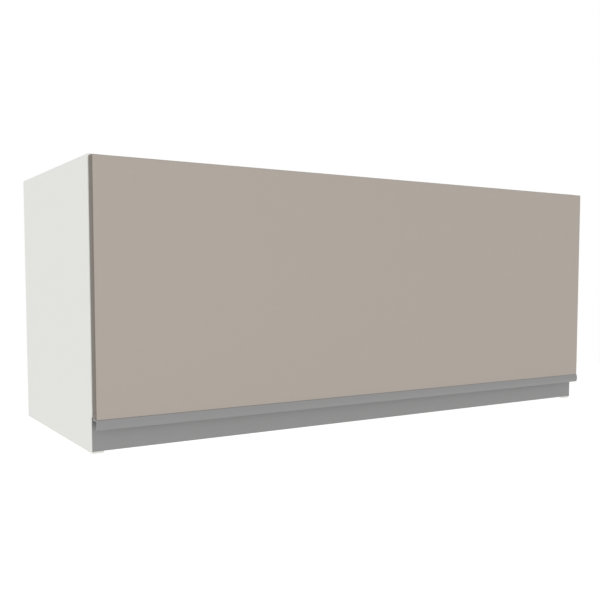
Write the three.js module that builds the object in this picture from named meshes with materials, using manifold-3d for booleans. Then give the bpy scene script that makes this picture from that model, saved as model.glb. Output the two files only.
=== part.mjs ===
// Lift-up kitchen wall cabinet: a white board carcass with a fully overlaid flap door that
// hangs on two concealed hinges under the top panel and is raised by a spring lift arm at
// each side. An aluminium handle profile runs along the whole lower edge of the door, and an
// aluminium fascia closes the front of the carcass below it.
//
// Millimetres. +X runs along the width, +Z up, and the wall is at +Y. The pieces are modelled
// from the carcass's front plane (y = 0, the room at -y) and its underside (z = 0), and the
// whole group is then moved so that its origin lies under the middle of the cabinet.

import * as THREE from "three";
import { mergeVertices } from "three/addons/utils/BufferGeometryUtils.js";
import Module from "manifold-3d";

const wasm = await Module();
wasm.setup();

// ---------------------------------------------------------------- driving dimensions

// Carcass
const WIDTH = 900;
const HEIGHT = 374;
const CARCASS_DEPTH = 330;
const BOARD = 15; // carcass boards and rails
const BOARD_EDGE = 0.6; // chamfer of the edge-banded boards
const UNDERSIDE_STEP = 3; // the sides reach this much below the bottom panel and the fascia
const BACK_THICKNESS = 3;
const BACK_INSET = 15; // from the wall face to the back panel's rear face
const GROOVE_DEPTH = 7.5;
const GROOVE_CLEARANCE = 0.3; // round the back panel in its groove
const HANGING_RAIL_HEIGHT = 80;
const LOWER_RAIL_HEIGHT = 60;

// Door
const DOOR_THICKNESS = 15;
const DOOR_GAP = 2; // between the door's back and the carcass
const DOOR_TOP_REVEAL = 3; // below the top of the carcass
const DOOR_SIDE_REVEAL = 0.5;
const DOOR_BOTTOM = 45; // height of the door board's lower edge
const DOOR_EDGE = 0.6; // rounding of the door's edge band

// Handle profile and fascia
const HANDLE_DROP = 13; // from the door board's lower edge to the tip of the lip
const HANDLE_BULGE = 1.6; // how far the lip swells in front of the door's face
const HANDLE_WALL = 1.6;
const HANDLE_BACK_SETBACK = 0.6; // from the door's back to the end of the flange
const TONGUE_WIDTH = 2.4;
const TONGUE_HEIGHT = 8;
const TONGUE_WAIST = 0.6; // how much the tongue narrows on each side above its barb
const TONGUE_BARB = 4; // from the door's edge to the start of the barb
const TONGUE_BARB_RISE = 0.4;
const TONGUE_CLEARANCE = 0.3;
const FASCIA_THICKNESS = 1.2;
const FASCIA_LIP = 9; // how far the fascia laps back over the front rail

// Concealed hinges
const HINGE_INSET = 110; // from the outside of the cabinet to the middle of a hinge
const CUP_RADIUS = 17.5;
const CUP_WALL = 0.7;
const CUP_FLOOR = 0.6;
const CUP_EDGE_DISTANCE = 2.4; // from the door's top edge to the cup's hole
const CUP_HOLE_CLEARANCE = 0.3;
const CUP_FLANGE = 1;
const CUP_FLANGE_LENGTH = 62;
const CUP_FLANGE_HEIGHT = 27;
const CUP_FLANGE_CORNER = 9;
const CUP_FLANGE_DROP = 3; // from the middle of the cup to the middle of its flange
const CUP_RIM = 1.2; // round the cup, on the flange
const CUP_SCREW_MARGIN = 7; // from the flange's end to the screw
const CUP_SCREW_DROP = 3; // below the flange's middle
const PIVOT_DEPTH = 9.4; // hinge axis in front of the door's back
const PIVOT_DROP = 5.8; // hinge axis below the door's top edge
const HINGE_PIN_RADIUS = 1;
const HINGE_PIN_CLEARANCE = 0.25;
const KNUCKLE_WALL = 0.7;
const KNUCKLE_WIDTH = 7;
const HINGE_CHEEK_GAP = 0.35;
const CHEEK_MARGIN = 1; // of the cheeks round the knuckle
const HINGE_PIN_SEAT = 2.3; // length of pin held in each cheek of the cup
const ARM_ELBOW_DROP = 12.3; // from the hinge axis to the top of the arm where it enters the cup
const ARM_NECK = 4.7; // height of the arm where it enters the cup
const ARM_WIDTH = 16;
const ARM_HEIGHT = 7.2;
const ARM_LENGTH = 68; // from the carcass's front plane
const ARM_SHEET = 2; // steel of the arm's channel and neck
const ARM_BEND = 3; // radius of the arm's outer corners
const ARM_KNEE = 1; // radius of the inner corner behind the knuckle
const ARM_NOSE = 10.5; // from the carcass's front plane to the lower front corner of the channel
const ARM_SLOT_SETBACK = 50; // from the carcass's front plane to the middle of the slot
const ARM_SLOT_LENGTH = 12;
const ARM_SLOT_WIDTH = 5;
const PLATE_BASE = 2;
const PLATE_RIB_WIDTH = 10;
const PLATE_RIB_HEIGHT = 3.4;
const PLATE_SETBACK = 18; // from the carcass's front plane to the plate
const PLATE_LENGTH = 46;
const PLATE_WIDTH = 44;
const PLATE_WING_DEPTH = 19;
const PLATE_SCREW_SPACING = 32;
const SCREW_HOLE_RADIUS = 2.2;

// Spring lift arms. The lever and the line from the hinge axis to the bracket pin are the long
// sides of a parallelogram, and the link and the line between the two fixed axes are the others.
const LIFT_PIVOT_SETBACK = 62; // lever axis behind the carcass's front plane
const LIFT_PIVOT_DROP = 78; // lever axis below the top of the carcass
const BRACKET_PIN_REACH = 12; // bracket pin behind the door's back
const BRACKET_PIN_DROP = 118; // bracket pin below the door's top edge
const LIFT_PLATE = 2;
const COVER_THICKNESS = 18;
const COVER_WALL = 2;
const COVER_DRUM_RADIUS = 30;
const COVER_TAIL_LENGTH = 128; // from the lever axis to the rear end
const COVER_TAIL_HEIGHT = 44;
const COVER_CORNER = 8;
const COVER_GROOVES = 3;
const COVER_GROOVE_SETBACK = 80; // from the lever axis to the first groove
const COVER_GROOVE_PITCH = 13;
const COVER_GROOVE_WIDTH = 3;
const COVER_GROOVE_DEPTH = 0.8;
const LEVER_THICKNESS = 4;
const LEVER_HUB_RADIUS = 12;
const LEVER_EYE_RADIUS = 8.5;
const LINK_THICKNESS = 3;
const LINK_EYE_RADIUS = 8;
const LINK_GAP = 0.5; // between the lever's plane and its neighbours
const RIVET_RADIUS = 4;
const RIVET_HEAD_RADIUS = 6.5;
const RIVET_HEAD = 1.5;
const RIVET_CHAMFER = 0.8;
const SHAFT_RADIUS = 5;
const SHAFT_NECK_RADIUS = 4;
const SHAFT_HEAD_RADIUS = 7;
const SHAFT_HEAD = 2;
const SHAFT_CHAMFER = 1;
const SPRING_RADIUS = 17; // to the middle of the wire
const SPRING_WIRE = 2.6;
const SPRING_TURNS = 4;
const SPRING_TURN_GAP = 0.5;
const SPRING_LEG = 46;
const SPRING_POST_RADIUS = 3.5;
const BRACKET_PLATE = 2.5;
const BRACKET_EAR = 3;
const BRACKET_CORNER = 2.5;
const BRACKET_EAR_FOOT = 19; // half the height of the ear at the plate
const BRACKET_EAR_LEAN = 0.25; // angle of the ear's edges to the eye, in radians
const BRACKET_HEIGHT = 52;
const BRACKET_SIDE_GAP = 3; // between the bracket and the carcass side's inner face
const BRACKET_SCREW_SPACING = 34;

// Hangers, connectors and bumpers
const HANGER_WIDTH = 18;
const HANGER_DEPTH = 56;
const HANGER_HEIGHT = 62;
const HANGER_TOP_GAP = 2;
const HANGER_CORNER = 3;
const HANGER_SCREW_HEIGHTS = [19, 45]; // above the housing's lower end
const HANGER_SCREW_RADIUS = 3.2;
const HANGER_SCREW_DEPTH = 8;
const HOOK_WIDTH = 10;
const HOOK_THICKNESS = 5;
const HOOK_LIP = 15;
const HOOK_LIP_THICKNESS = 4;
const HOOK_TIP = 1; // thickness at the lip's lower end
const HOOK_LENGTH_INSIDE = 24;
const HOOK_DROP = 16; // from the top of the hanger to the top of the hook
const HOOK_WALL_GAP = 2; // from the hook's tip to the wall face
const HOOK_SLOT_CLEARANCE = 3; // beside and below the hook in the back panel
const WALL_PLATE_SIDE = 34; // room beside the hook for the wall plate, in the hanging rail
const WALL_PLATE_DROP = 26; // room below the hook's lip
const CAM_RADIUS = 7.5;
const CAM_DEPTH = 12;
const CAM_DISTANCE = 34; // from the panel's end to the middle of the cam
const CAM_END_MARGIN = 50; // from the front and rear ends of the panel to the cams
const CAM_SLOT_MARGIN = 2; // from the slot's end to the drum's edge
const CAM_SLOT_WIDTH = 1.4;
const CAM_SLOT_DEPTH = 2;
const BOLT_RADIUS = 3;
const BOLT_HEAD_RADIUS = 2.6;
const BOLT_NECK_RADIUS = 1.8;
const BOLT_HEAD_LENGTH = 3;
const BOLT_NECK_LENGTH = 5;
const BOLT_THREAD_RADIUS = 2.4;
const BOLT_THREAD_LENGTH = 10;
const BUMPER_RADIUS = 4;
const BUMPER_RIM = 0.9; // height of its straight edge
const BUMPER_SHOULDER = 3; // radius at which its dome levels out
const BUMPER_HEIGHT = 60; // height of the bumpers above the underside

const FIT = 0.3; // gap between pieces that are cut to fit each other
const OVERCUT = 1; // how far a cut reaches past the face that it opens

// Facets of a full circle
const FINE_ROUND = 28;
const ROUND = 20;
const SMALL_ROUND = 16;
const BOLT_ROUND = 10;

// Facets of one arc of an outline
const FINE_ARC = 8;
const ARC = 5;
const SMALL_ARC = 3;

// Facets of the spring wire
const WIRE_SIDES = 6;
const TURN_STEPS = 11; // along one turn of a spring
const LEG_STEPS = 4; // along its leg

// ---------------------------------------------------------------- derived places

const SIDE_INNER = WIDTH / 2 - BOARD;
const TOP_UNDERSIDE = HEIGHT - BOARD;
const BOTTOM_TOP = UNDERSIDE_STEP + BOARD;
const BACK_REAR = CARCASS_DEPTH - BACK_INSET;
const BACK_FRONT = BACK_REAR - BACK_THICKNESS;
const DOOR_BACK = -DOOR_GAP;
const DOOR_FRONT = DOOR_BACK - DOOR_THICKNESS;
const DOOR_TOP = HEIGHT - DOOR_TOP_REVEAL;
const DOOR_WIDTH = WIDTH - 2 * DOOR_SIDE_REVEAL;
const FRONT_REACH = HANDLE_BULGE - DOOR_FRONT; // of the handle in front of the carcass

const HINGE_AXIS = new THREE.Vector2(DOOR_BACK - PIVOT_DEPTH, DOOR_TOP - PIVOT_DROP);
const HINGE_X = WIDTH / 2 - HINGE_INSET;
const KNUCKLE_RADIUS = HINGE_PIN_RADIUS + HINGE_PIN_CLEARANCE + KNUCKLE_WALL;
const CUP_INNER_DEPTH = PIVOT_DEPTH + KNUCKLE_RADIUS + FIT;
const CUP_DEPTH = CUP_INNER_DEPTH + CUP_FLOOR;
const CUP_Z = DOOR_TOP - CUP_EDGE_DISTANCE - CUP_RADIUS;

const LEVER_AXIS = new THREE.Vector2(LIFT_PIVOT_SETBACK, HEIGHT - LIFT_PIVOT_DROP);
const BRACKET_PIN = new THREE.Vector2(DOOR_BACK + BRACKET_PIN_REACH, DOOR_TOP - BRACKET_PIN_DROP);
const ELBOW = LEVER_AXIS.clone().add(BRACKET_PIN).sub(HINGE_AXIS);

// Layers of a lift arm, counted from the side panel's inner face towards the middle
const COVER_TOP = LIFT_PLATE + COVER_THICKNESS;
const LEVER_LAYER = COVER_TOP + LINK_GAP;
const LINK_LAYER = LEVER_LAYER + LEVER_THICKNESS + LINK_GAP;
const EAR_LAYER = LINK_LAYER - LINK_GAP - BRACKET_EAR;

// ---------------------------------------------------------------- materials

const finish = (color, roughness, metalness) =>
  new THREE.MeshStandardMaterial({ color, roughness, metalness });
const whiteBoard = finish(0xe3e4df, 0.45, 0);
const taupeBoard = finish(0xafa69d, 0.5, 0);
const whiteHardboard = finish(0xdcddd8, 0.6, 0);
const satinAluminium = finish(0x959595, 0.4, 0.8);
const zincSteel = finish(0xb5b8bb, 0.35, 0.9);
const springSteel = finish(0x6d7074, 0.4, 0.9);
const greyPlastic = finish(0xc3c6c5, 0.55, 0);
const softPlastic = finish(0xdadad6, 0.7, 0);

// ---------------------------------------------------------------- solids

const ALONG_X = new THREE.Matrix4().makeBasis(
  new THREE.Vector3(0, 1, 0),
  new THREE.Vector3(0, 0, 1),
  new THREE.Vector3(1, 0, 0),
);
const FRONTWARD = new THREE.Matrix4().makeBasis(
  new THREE.Vector3(1, 0, 0),
  new THREE.Vector3(0, 0, 1),
  new THREE.Vector3(0, -1, 0),
);

// A closed geometry as a solid that can be joined and cut.
function solid(geometry) {
  const bare = new THREE.BufferGeometry().setAttribute("position", geometry.getAttribute("position"));
  if (geometry.index) bare.setIndex(geometry.index);
  const merged = mergeVertices(bare, 1e-4);
  return new wasm.Manifold(
    new wasm.Mesh({
      numProp: 3,
      vertProperties: merged.getAttribute("position").array,
      triVerts: new Uint32Array(merged.index.array),
    }),
  );
}

// A named mesh of a solid, with flat shading.
function piece(name, made, material) {
  const data = made.getMesh();
  const geometry = new THREE.BufferGeometry();
  const places = new Float32Array((data.vertProperties.length / data.numProp) * 3);
  for (let i = 0; i < places.length / 3; i++) {
    places.set(data.vertProperties.subarray(i * data.numProp, i * data.numProp + 3), 3 * i);
  }
  geometry.setAttribute("position", new THREE.BufferAttribute(places, 3));
  geometry.setIndex(new THREE.BufferAttribute(data.triVerts, 1));
  const flat = geometry.toNonIndexed();
  flat.computeVertexNormals();
  const mesh = new THREE.Mesh(flat, material);
  mesh.name = name;
  return mesh;
}

const union = (first, ...others) => others.reduce((whole, one) => whole.add(one), first);
const cut = (first, ...others) => others.reduce((whole, one) => whole.subtract(one), first);

// A block between two corners, each given as [x, y, z].
function block([x0, y0, z0], [x1, y1, z1]) {
  const geometry = new THREE.BoxGeometry(x1 - x0, y1 - y0, z1 - z0);
  geometry.translate((x0 + x1) / 2, (y0 + y1) / 2, (z0 + z1) / 2);
  return solid(geometry);
}

// A rectangle's outline between two corners.
function rectangle(a0, b0, a1, b1) {
  const shape = new THREE.Shape();
  shape.moveTo(a0, b0);
  shape.lineTo(a1, b0);
  shape.lineTo(a1, b1);
  shape.lineTo(a0, b1);
  shape.closePath();
  return shape;
}

// A rectangle with rounded corners.
function roundedRectangle(a0, b0, a1, b1, radius) {
  const shape = new THREE.Shape();
  shape.moveTo(a0 + radius, b0);
  shape.lineTo(a1 - radius, b0);
  shape.absarc(a1 - radius, b0 + radius, radius, -Math.PI / 2, 0);
  shape.lineTo(a1, b1 - radius);
  shape.absarc(a1 - radius, b1 - radius, radius, 0, Math.PI / 2);
  shape.lineTo(a0 + radius, b1);
  shape.absarc(a0 + radius, b1 - radius, radius, Math.PI / 2, Math.PI);
  shape.lineTo(a0, b0 + radius);
  shape.absarc(a0 + radius, b0 + radius, radius, Math.PI, 1.5 * Math.PI);
  return shape;
}

// The outline of two discs and the belt round them.
function belt(from, fromRadius, to, toRadius) {
  const way = to.clone().sub(from);
  const heading = way.angle();
  const spread = Math.acos((fromRadius - toRadius) / way.length());
  const shape = new THREE.Shape();
  shape.absarc(from.x, from.y, fromRadius, heading + spread, heading - spread + 2 * Math.PI);
  shape.absarc(to.x, to.y, toRadius, heading - spread, heading + spread);
  return shape;
}

// An outline in the y-z plane, extruded along x.
function alongX(shape, x0, x1, curveSegments = FINE_ARC) {
  const geometry = new THREE.ExtrudeGeometry(shape, {
    depth: x1 - x0,
    bevelEnabled: false,
    curveSegments,
  });
  geometry.applyMatrix4(ALONG_X);
  geometry.translate(x0, 0, 0);
  return solid(geometry);
}

// An outline in the x-z plane, extruded along y.
function alongY(shape, y0, y1, curveSegments = ARC) {
  const geometry = new THREE.ExtrudeGeometry(shape, {
    depth: y1 - y0,
    bevelEnabled: false,
    curveSegments,
  });
  geometry.applyMatrix4(FRONTWARD);
  geometry.translate(0, y1, 0);
  return solid(geometry);
}

// An edge-banded board between two corners. thin names the axis across its thickness, and the
// edges of its two faces are eased by edge.
function board([x0, y0, z0], [x1, y1, z1], thin, edge, segments) {
  const outlines = {
    x: [y0, z0, y1, z1],
    y: [x0, z0, x1, z1],
    z: [x0, y0, x1, y1],
  };
  const thickness = { x: x1 - x0, y: y1 - y0, z: z1 - z0 }[thin];
  const geometry = new THREE.ExtrudeGeometry(rectangle(...outlines[thin]), {
    depth: thickness - 2 * edge,
    bevelEnabled: true,
    bevelThickness: edge,
    bevelSize: edge,
    bevelOffset: -edge,
    bevelSegments: segments,
  });
  geometry.translate(0, 0, edge);
  if (thin === "x") geometry.applyMatrix4(ALONG_X);
  if (thin === "y") geometry.applyMatrix4(FRONTWARD);
  geometry.translate(thin === "x" ? x0 : 0, thin === "y" ? y1 : 0, thin === "z" ? z0 : 0);
  return solid(geometry);
}

// A round bar along x, y or z. from and to are its ends on that axis, and a and b its place on
// the other two in x, y, z order.
function bar(axis, radius, from, to, a, b, segments = ROUND) {
  const geometry = new THREE.CylinderGeometry(radius, radius, to - from, segments);
  const middle = (from + to) / 2;
  if (axis === "x") geometry.rotateZ(Math.PI / 2).translate(middle, a, b);
  if (axis === "y") geometry.translate(a, middle, b);
  if (axis === "z") geometry.rotateX(Math.PI / 2).translate(a, b, middle);
  return solid(geometry);
}

// A turned piece along x through the point (y, z). steps lists [x, radius] pairs from end to end.
function turned(steps, y, z, segments = ROUND) {
  const first = steps[0][0];
  const last = steps[steps.length - 1][0];
  const profile = [
    new THREE.Vector2(0, first),
    ...steps.map(([x, radius]) => new THREE.Vector2(radius, x)),
    new THREE.Vector2(0, last),
  ];
  const geometry = new THREE.LatheGeometry(profile, segments);
  geometry.rotateZ(-Math.PI / 2).translate(0, y, z);
  return solid(geometry);
}

// The same solid on the other side of the cabinet.
const mirrored = (made) => made.mirror([1, 0, 0]);

// ---------------------------------------------------------------- carcass

// A side panel, modelled on the right: a plain board with the back panel's groove.
function sidePanel() {
  const blank = board([SIDE_INNER, 0, 0], [WIDTH / 2, CARCASS_DEPTH, HEIGHT], "x", BOARD_EDGE, 1);
  const groove = block(
    [SIDE_INNER - OVERCUT, BACK_FRONT - GROOVE_CLEARANCE, -OVERCUT],
    [SIDE_INNER + GROOVE_DEPTH + GROOVE_CLEARANCE, BACK_REAR + GROOVE_CLEARANCE, HEIGHT + OVERCUT],
  );
  const threadEnd = SIDE_INNER + BOLT_THREAD_LENGTH + FIT;
  const threads = connectorPlaces().map(({ y, boltZ }) =>
    bar("x", BOLT_THREAD_RADIUS + FIT, SIDE_INNER - OVERCUT, threadEnd, y, boltZ, BOLT_ROUND),
  );
  return cut(blank, groove, ...threads);
}

// The panels' connectors, on the right: a cam in the panel and a bolt from it into the side.
// The top panel's cams face up and the bottom panel's face the inside of the cabinet.
function connectorPlaces() {
  const front = CAM_END_MARGIN;
  const rear = BACK_FRONT - CAM_END_MARGIN;
  return [
    { level: "top", end: "front", y: front, faceZ: HEIGHT },
    { level: "top", end: "rear", y: rear, faceZ: HEIGHT },
    { level: "bottom", end: "front", y: front, faceZ: BOTTOM_TOP },
    { level: "bottom", end: "rear", y: rear, faceZ: BOTTOM_TOP },
  ].map((place) => ({ ...place, boltZ: place.faceZ - BOARD / 2, camX: SIDE_INNER - CAM_DISTANCE }));
}

// The cuts that a panel needs for the connectors of one level, at both ends.
function connectorCuts(level) {
  return connectorPlaces()
    .filter((place) => place.level === level)
    .flatMap(({ y, faceZ, boltZ, camX }) => {
      const floor = faceZ - CAM_DEPTH - FIT;
      const camHole = bar("z", CAM_RADIUS + FIT, floor, faceZ + OVERCUT, camX, y, SMALL_ROUND);
      const boltHole = bar("x", BOLT_RADIUS + FIT, camX, SIDE_INNER + OVERCUT, y, boltZ, BOLT_ROUND);
      const both = camHole.add(boltHole);
      return [both, mirrored(both)];
    });
}

function panelGroove(from, to) {
  return block(
    [-WIDTH, BACK_FRONT - GROOVE_CLEARANCE, from],
    [WIDTH, BACK_REAR + GROOVE_CLEARANCE, to],
  );
}

function topPanel() {
  const blank = board(
    [-SIDE_INNER, 0, TOP_UNDERSIDE],
    [SIDE_INNER, CARCASS_DEPTH, HEIGHT],
    "z",
    BOARD_EDGE,
    1,
  );
  const groove = panelGroove(TOP_UNDERSIDE - OVERCUT, TOP_UNDERSIDE + GROOVE_DEPTH + GROOVE_CLEARANCE);
  return cut(blank, groove, ...connectorCuts("top"));
}

function bottomPanel() {
  const blank = board(
    [-SIDE_INNER, 0, UNDERSIDE_STEP],
    [SIDE_INNER, CARCASS_DEPTH, BOTTOM_TOP],
    "z",
    BOARD_EDGE,
    1,
  );
  const groove = panelGroove(BOTTOM_TOP - GROOVE_DEPTH - GROOVE_CLEARANCE, BOTTOM_TOP + OVERCUT);
  return cut(blank, groove, ...connectorCuts("bottom"));
}

// A notch round a hanger's hook, open towards the top and the side, on the right. It reaches
// beside and below the hook's arm by the given distances.
function hookNotch(y0, y1, beside, below) {
  const { bottom, x } = hookPlace();
  return block([x - HOOK_WIDTH / 2 - beside, y0, bottom - below], [WIDTH, y1, HEIGHT + OVERCUT]);
}

function backPanel() {
  const blank = block(
    [-SIDE_INNER - GROOVE_DEPTH, BACK_FRONT, BOTTOM_TOP - GROOVE_DEPTH],
    [SIDE_INNER + GROOVE_DEPTH, BACK_REAR, TOP_UNDERSIDE + GROOVE_DEPTH],
  );
  const reach = [BACK_FRONT - OVERCUT, BACK_REAR + OVERCUT];
  const notch = hookNotch(...reach, HOOK_SLOT_CLEARANCE, HOOK_SLOT_CLEARANCE);
  return cut(blank, notch, mirrored(notch));
}

function hangingRail() {
  const blank = board(
    [-SIDE_INNER, BACK_REAR + GROOVE_CLEARANCE, TOP_UNDERSIDE - HANGING_RAIL_HEIGHT],
    [SIDE_INNER, CARCASS_DEPTH, TOP_UNDERSIDE],
    "y",
    BOARD_EDGE,
    1,
  );
  const reach = [BACK_REAR - OVERCUT, CARCASS_DEPTH + OVERCUT];
  const notch = hookNotch(...reach, WALL_PLATE_SIDE, HOOK_LIP + WALL_PLATE_DROP);
  return cut(blank, notch, mirrored(notch));
}

function lowerRearRail() {
  return board(
    [-SIDE_INNER, BACK_REAR + GROOVE_CLEARANCE, BOTTOM_TOP],
    [SIDE_INNER, CARCASS_DEPTH, BOTTOM_TOP + LOWER_RAIL_HEIGHT],
    "y",
    BOARD_EDGE,
    1,
  );
}

function frontRail() {
  return board(
    [-SIDE_INNER, 0, BOTTOM_TOP],
    [SIDE_INNER, BOARD, DOOR_BOTTOM],
    "y",
    BOARD_EDGE,
    1,
  );
}

// The strip that covers the bottom panel's edge, the front rail and the sides' front edges.
// Its upper edge laps back over the rail, between the sides.
function fascia() {
  const strip = block(
    [-WIDTH / 2, -FASCIA_THICKNESS, UNDERSIDE_STEP],
    [WIDTH / 2, 0, DOOR_BOTTOM + FASCIA_THICKNESS],
  );
  const lip = block(
    [-SIDE_INNER + FIT, -FASCIA_THICKNESS, DOOR_BOTTOM],
    [SIDE_INNER - FIT, FASCIA_LIP, DOOR_BOTTOM + FASCIA_THICKNESS],
  );
  return strip.add(lip);
}

// ---------------------------------------------------------------- connectors and bumpers

// A cam: a die-cast drum with a cross slot in its face and a mouth for the bolt's head.
function cam({ y, faceZ, boltZ, camX }) {
  const drum = bar("z", CAM_RADIUS, faceZ - CAM_DEPTH, faceZ - FIT, camX, y, SMALL_ROUND);
  const slots = [
    [CAM_RADIUS - CAM_SLOT_MARGIN, CAM_SLOT_WIDTH / 2],
    [CAM_SLOT_WIDTH / 2, CAM_RADIUS - CAM_SLOT_MARGIN],
  ].map(([halfX, halfY]) =>
    block([camX - halfX, y - halfY, faceZ - CAM_SLOT_DEPTH], [camX + halfX, y + halfY, faceZ + OVERCUT]),
  );
  const mouthEnd = camX + CAM_RADIUS + OVERCUT;
  const mouth = bar("x", BOLT_HEAD_RADIUS + FIT, camX - OVERCUT, mouthEnd, y, boltZ, BOLT_ROUND);
  return cut(drum, ...slots, mouth);
}

// A connecting bolt: head and neck in the cam, shank in the panel, thread in the side.
function connectingBolt({ y, boltZ, camX }) {
  const start = camX;
  return turned(
    [
      [start, BOLT_HEAD_RADIUS],
      [start + BOLT_HEAD_LENGTH, BOLT_HEAD_RADIUS],
      [start + BOLT_HEAD_LENGTH, BOLT_NECK_RADIUS],
      [start + BOLT_HEAD_LENGTH + BOLT_NECK_LENGTH, BOLT_NECK_RADIUS],
      [start + BOLT_HEAD_LENGTH + BOLT_NECK_LENGTH, BOLT_RADIUS],
      [SIDE_INNER - FIT, BOLT_RADIUS],
      [SIDE_INNER - FIT, BOLT_THREAD_RADIUS],
      [SIDE_INNER + BOLT_THREAD_LENGTH, BOLT_THREAD_RADIUS],
    ],
    y,
    boltZ,
    BOLT_ROUND,
  );
}

// A stick-on pad on a side panel's front edge, with a domed face towards the door.
function bumper() {
  const thickness = DOOR_GAP - FIT;
  const shape = new THREE.Shape();
  shape.moveTo(0, 0);
  shape.lineTo(BUMPER_RADIUS, 0);
  shape.lineTo(BUMPER_RADIUS, BUMPER_RIM);
  shape.quadraticCurveTo(BUMPER_SHOULDER, thickness, 0, thickness);
  const profile = shape.getPoints(SMALL_ARC);
  const geometry = new THREE.LatheGeometry([...profile, profile[0]], SMALL_ROUND);
  geometry.rotateX(Math.PI).translate(WIDTH / 2 - BOARD / 2, 0, BUMPER_HEIGHT);
  return solid(geometry);
}

// ---------------------------------------------------------------- hangers

function hookPlace() {
  const top = TOP_UNDERSIDE - HANGER_TOP_GAP - HOOK_DROP;
  return { top, bottom: top - HOOK_THICKNESS, x: SIDE_INNER - HANGER_WIDTH / 2 };
}

// A hanger's housing in the upper rear corner, on the right, with its two adjusting screws'
// holes towards the room and the hook's channel towards the wall.
function hangerBody() {
  const y0 = BACK_FRONT - FIT - HANGER_DEPTH;
  const y1 = BACK_FRONT - FIT;
  const z1 = TOP_UNDERSIDE - HANGER_TOP_GAP;
  const z0 = z1 - HANGER_HEIGHT;
  const blank = alongX(
    roundedRectangle(y0, z0, y1, z1, HANGER_CORNER),
    SIDE_INNER - HANGER_WIDTH,
    SIDE_INNER,
    SMALL_ARC,
  );
  const { top, bottom, x } = hookPlace();
  const channel = block(
    [x - HOOK_WIDTH / 2 - FIT, y1 - HOOK_LENGTH_INSIDE - FIT, bottom - FIT],
    [x + HOOK_WIDTH / 2 + FIT, y1 + OVERCUT, top + FIT],
  );
  const screws = HANGER_SCREW_HEIGHTS.map((height) =>
    bar("y", HANGER_SCREW_RADIUS, y0 - OVERCUT, y0 + HANGER_SCREW_DEPTH, x, z0 + height, SMALL_ROUND),
  );
  return cut(blank, channel, ...screws);
}

function hangerHook() {
  const { top, bottom, x } = hookPlace();
  const tip = CARCASS_DEPTH - HOOK_WALL_GAP;
  const start = BACK_FRONT - FIT - HOOK_LENGTH_INSIDE;
  const shape = new THREE.Shape();
  shape.moveTo(start, bottom);
  shape.lineTo(start, top);
  const bend = HOOK_THICKNESS / 2;
  shape.lineTo(tip - bend, top);
  shape.absarc(tip - bend, top - bend, bend, Math.PI / 2, 0, true);
  shape.lineTo(tip, bottom - HOOK_LIP + HOOK_THICKNESS);
  shape.lineTo(tip - HOOK_LIP_THICKNESS + HOOK_TIP, bottom - HOOK_LIP);
  shape.lineTo(tip - HOOK_LIP_THICKNESS, bottom - HOOK_LIP);
  shape.lineTo(tip - HOOK_LIP_THICKNESS, bottom);
  shape.closePath();
  return alongX(shape, x - HOOK_WIDTH / 2, x + HOOK_WIDTH / 2, SMALL_ARC);
}

// ---------------------------------------------------------------- door

// The hole of a hinge cup in the door's back, on the right.
function cupHole() {
  const radius = CUP_RADIUS + CUP_HOLE_CLEARANCE;
  const floor = DOOR_BACK - CUP_DEPTH - CUP_HOLE_CLEARANCE;
  return bar("y", radius, floor, DOOR_BACK + OVERCUT, HINGE_X, CUP_Z, FINE_ROUND);
}

const TONGUE_Y = (DOOR_BACK + DOOR_FRONT) / 2;

function doorPanel() {
  const blank = board(
    [-DOOR_WIDTH / 2, DOOR_FRONT, DOOR_BOTTOM],
    [DOOR_WIDTH / 2, DOOR_BACK, DOOR_TOP],
    "y",
    DOOR_EDGE,
    2,
  );
  const halfGroove = TONGUE_WIDTH / 2 + TONGUE_CLEARANCE;
  const groove = block(
    [-WIDTH, TONGUE_Y - halfGroove, DOOR_BOTTOM - OVERCUT],
    [WIDTH, TONGUE_Y + halfGroove, DOOR_BOTTOM + TONGUE_HEIGHT + TONGUE_CLEARANCE],
  );
  const hole = cupHole();
  return cut(blank, groove, hole, mirrored(hole));
}

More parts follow.
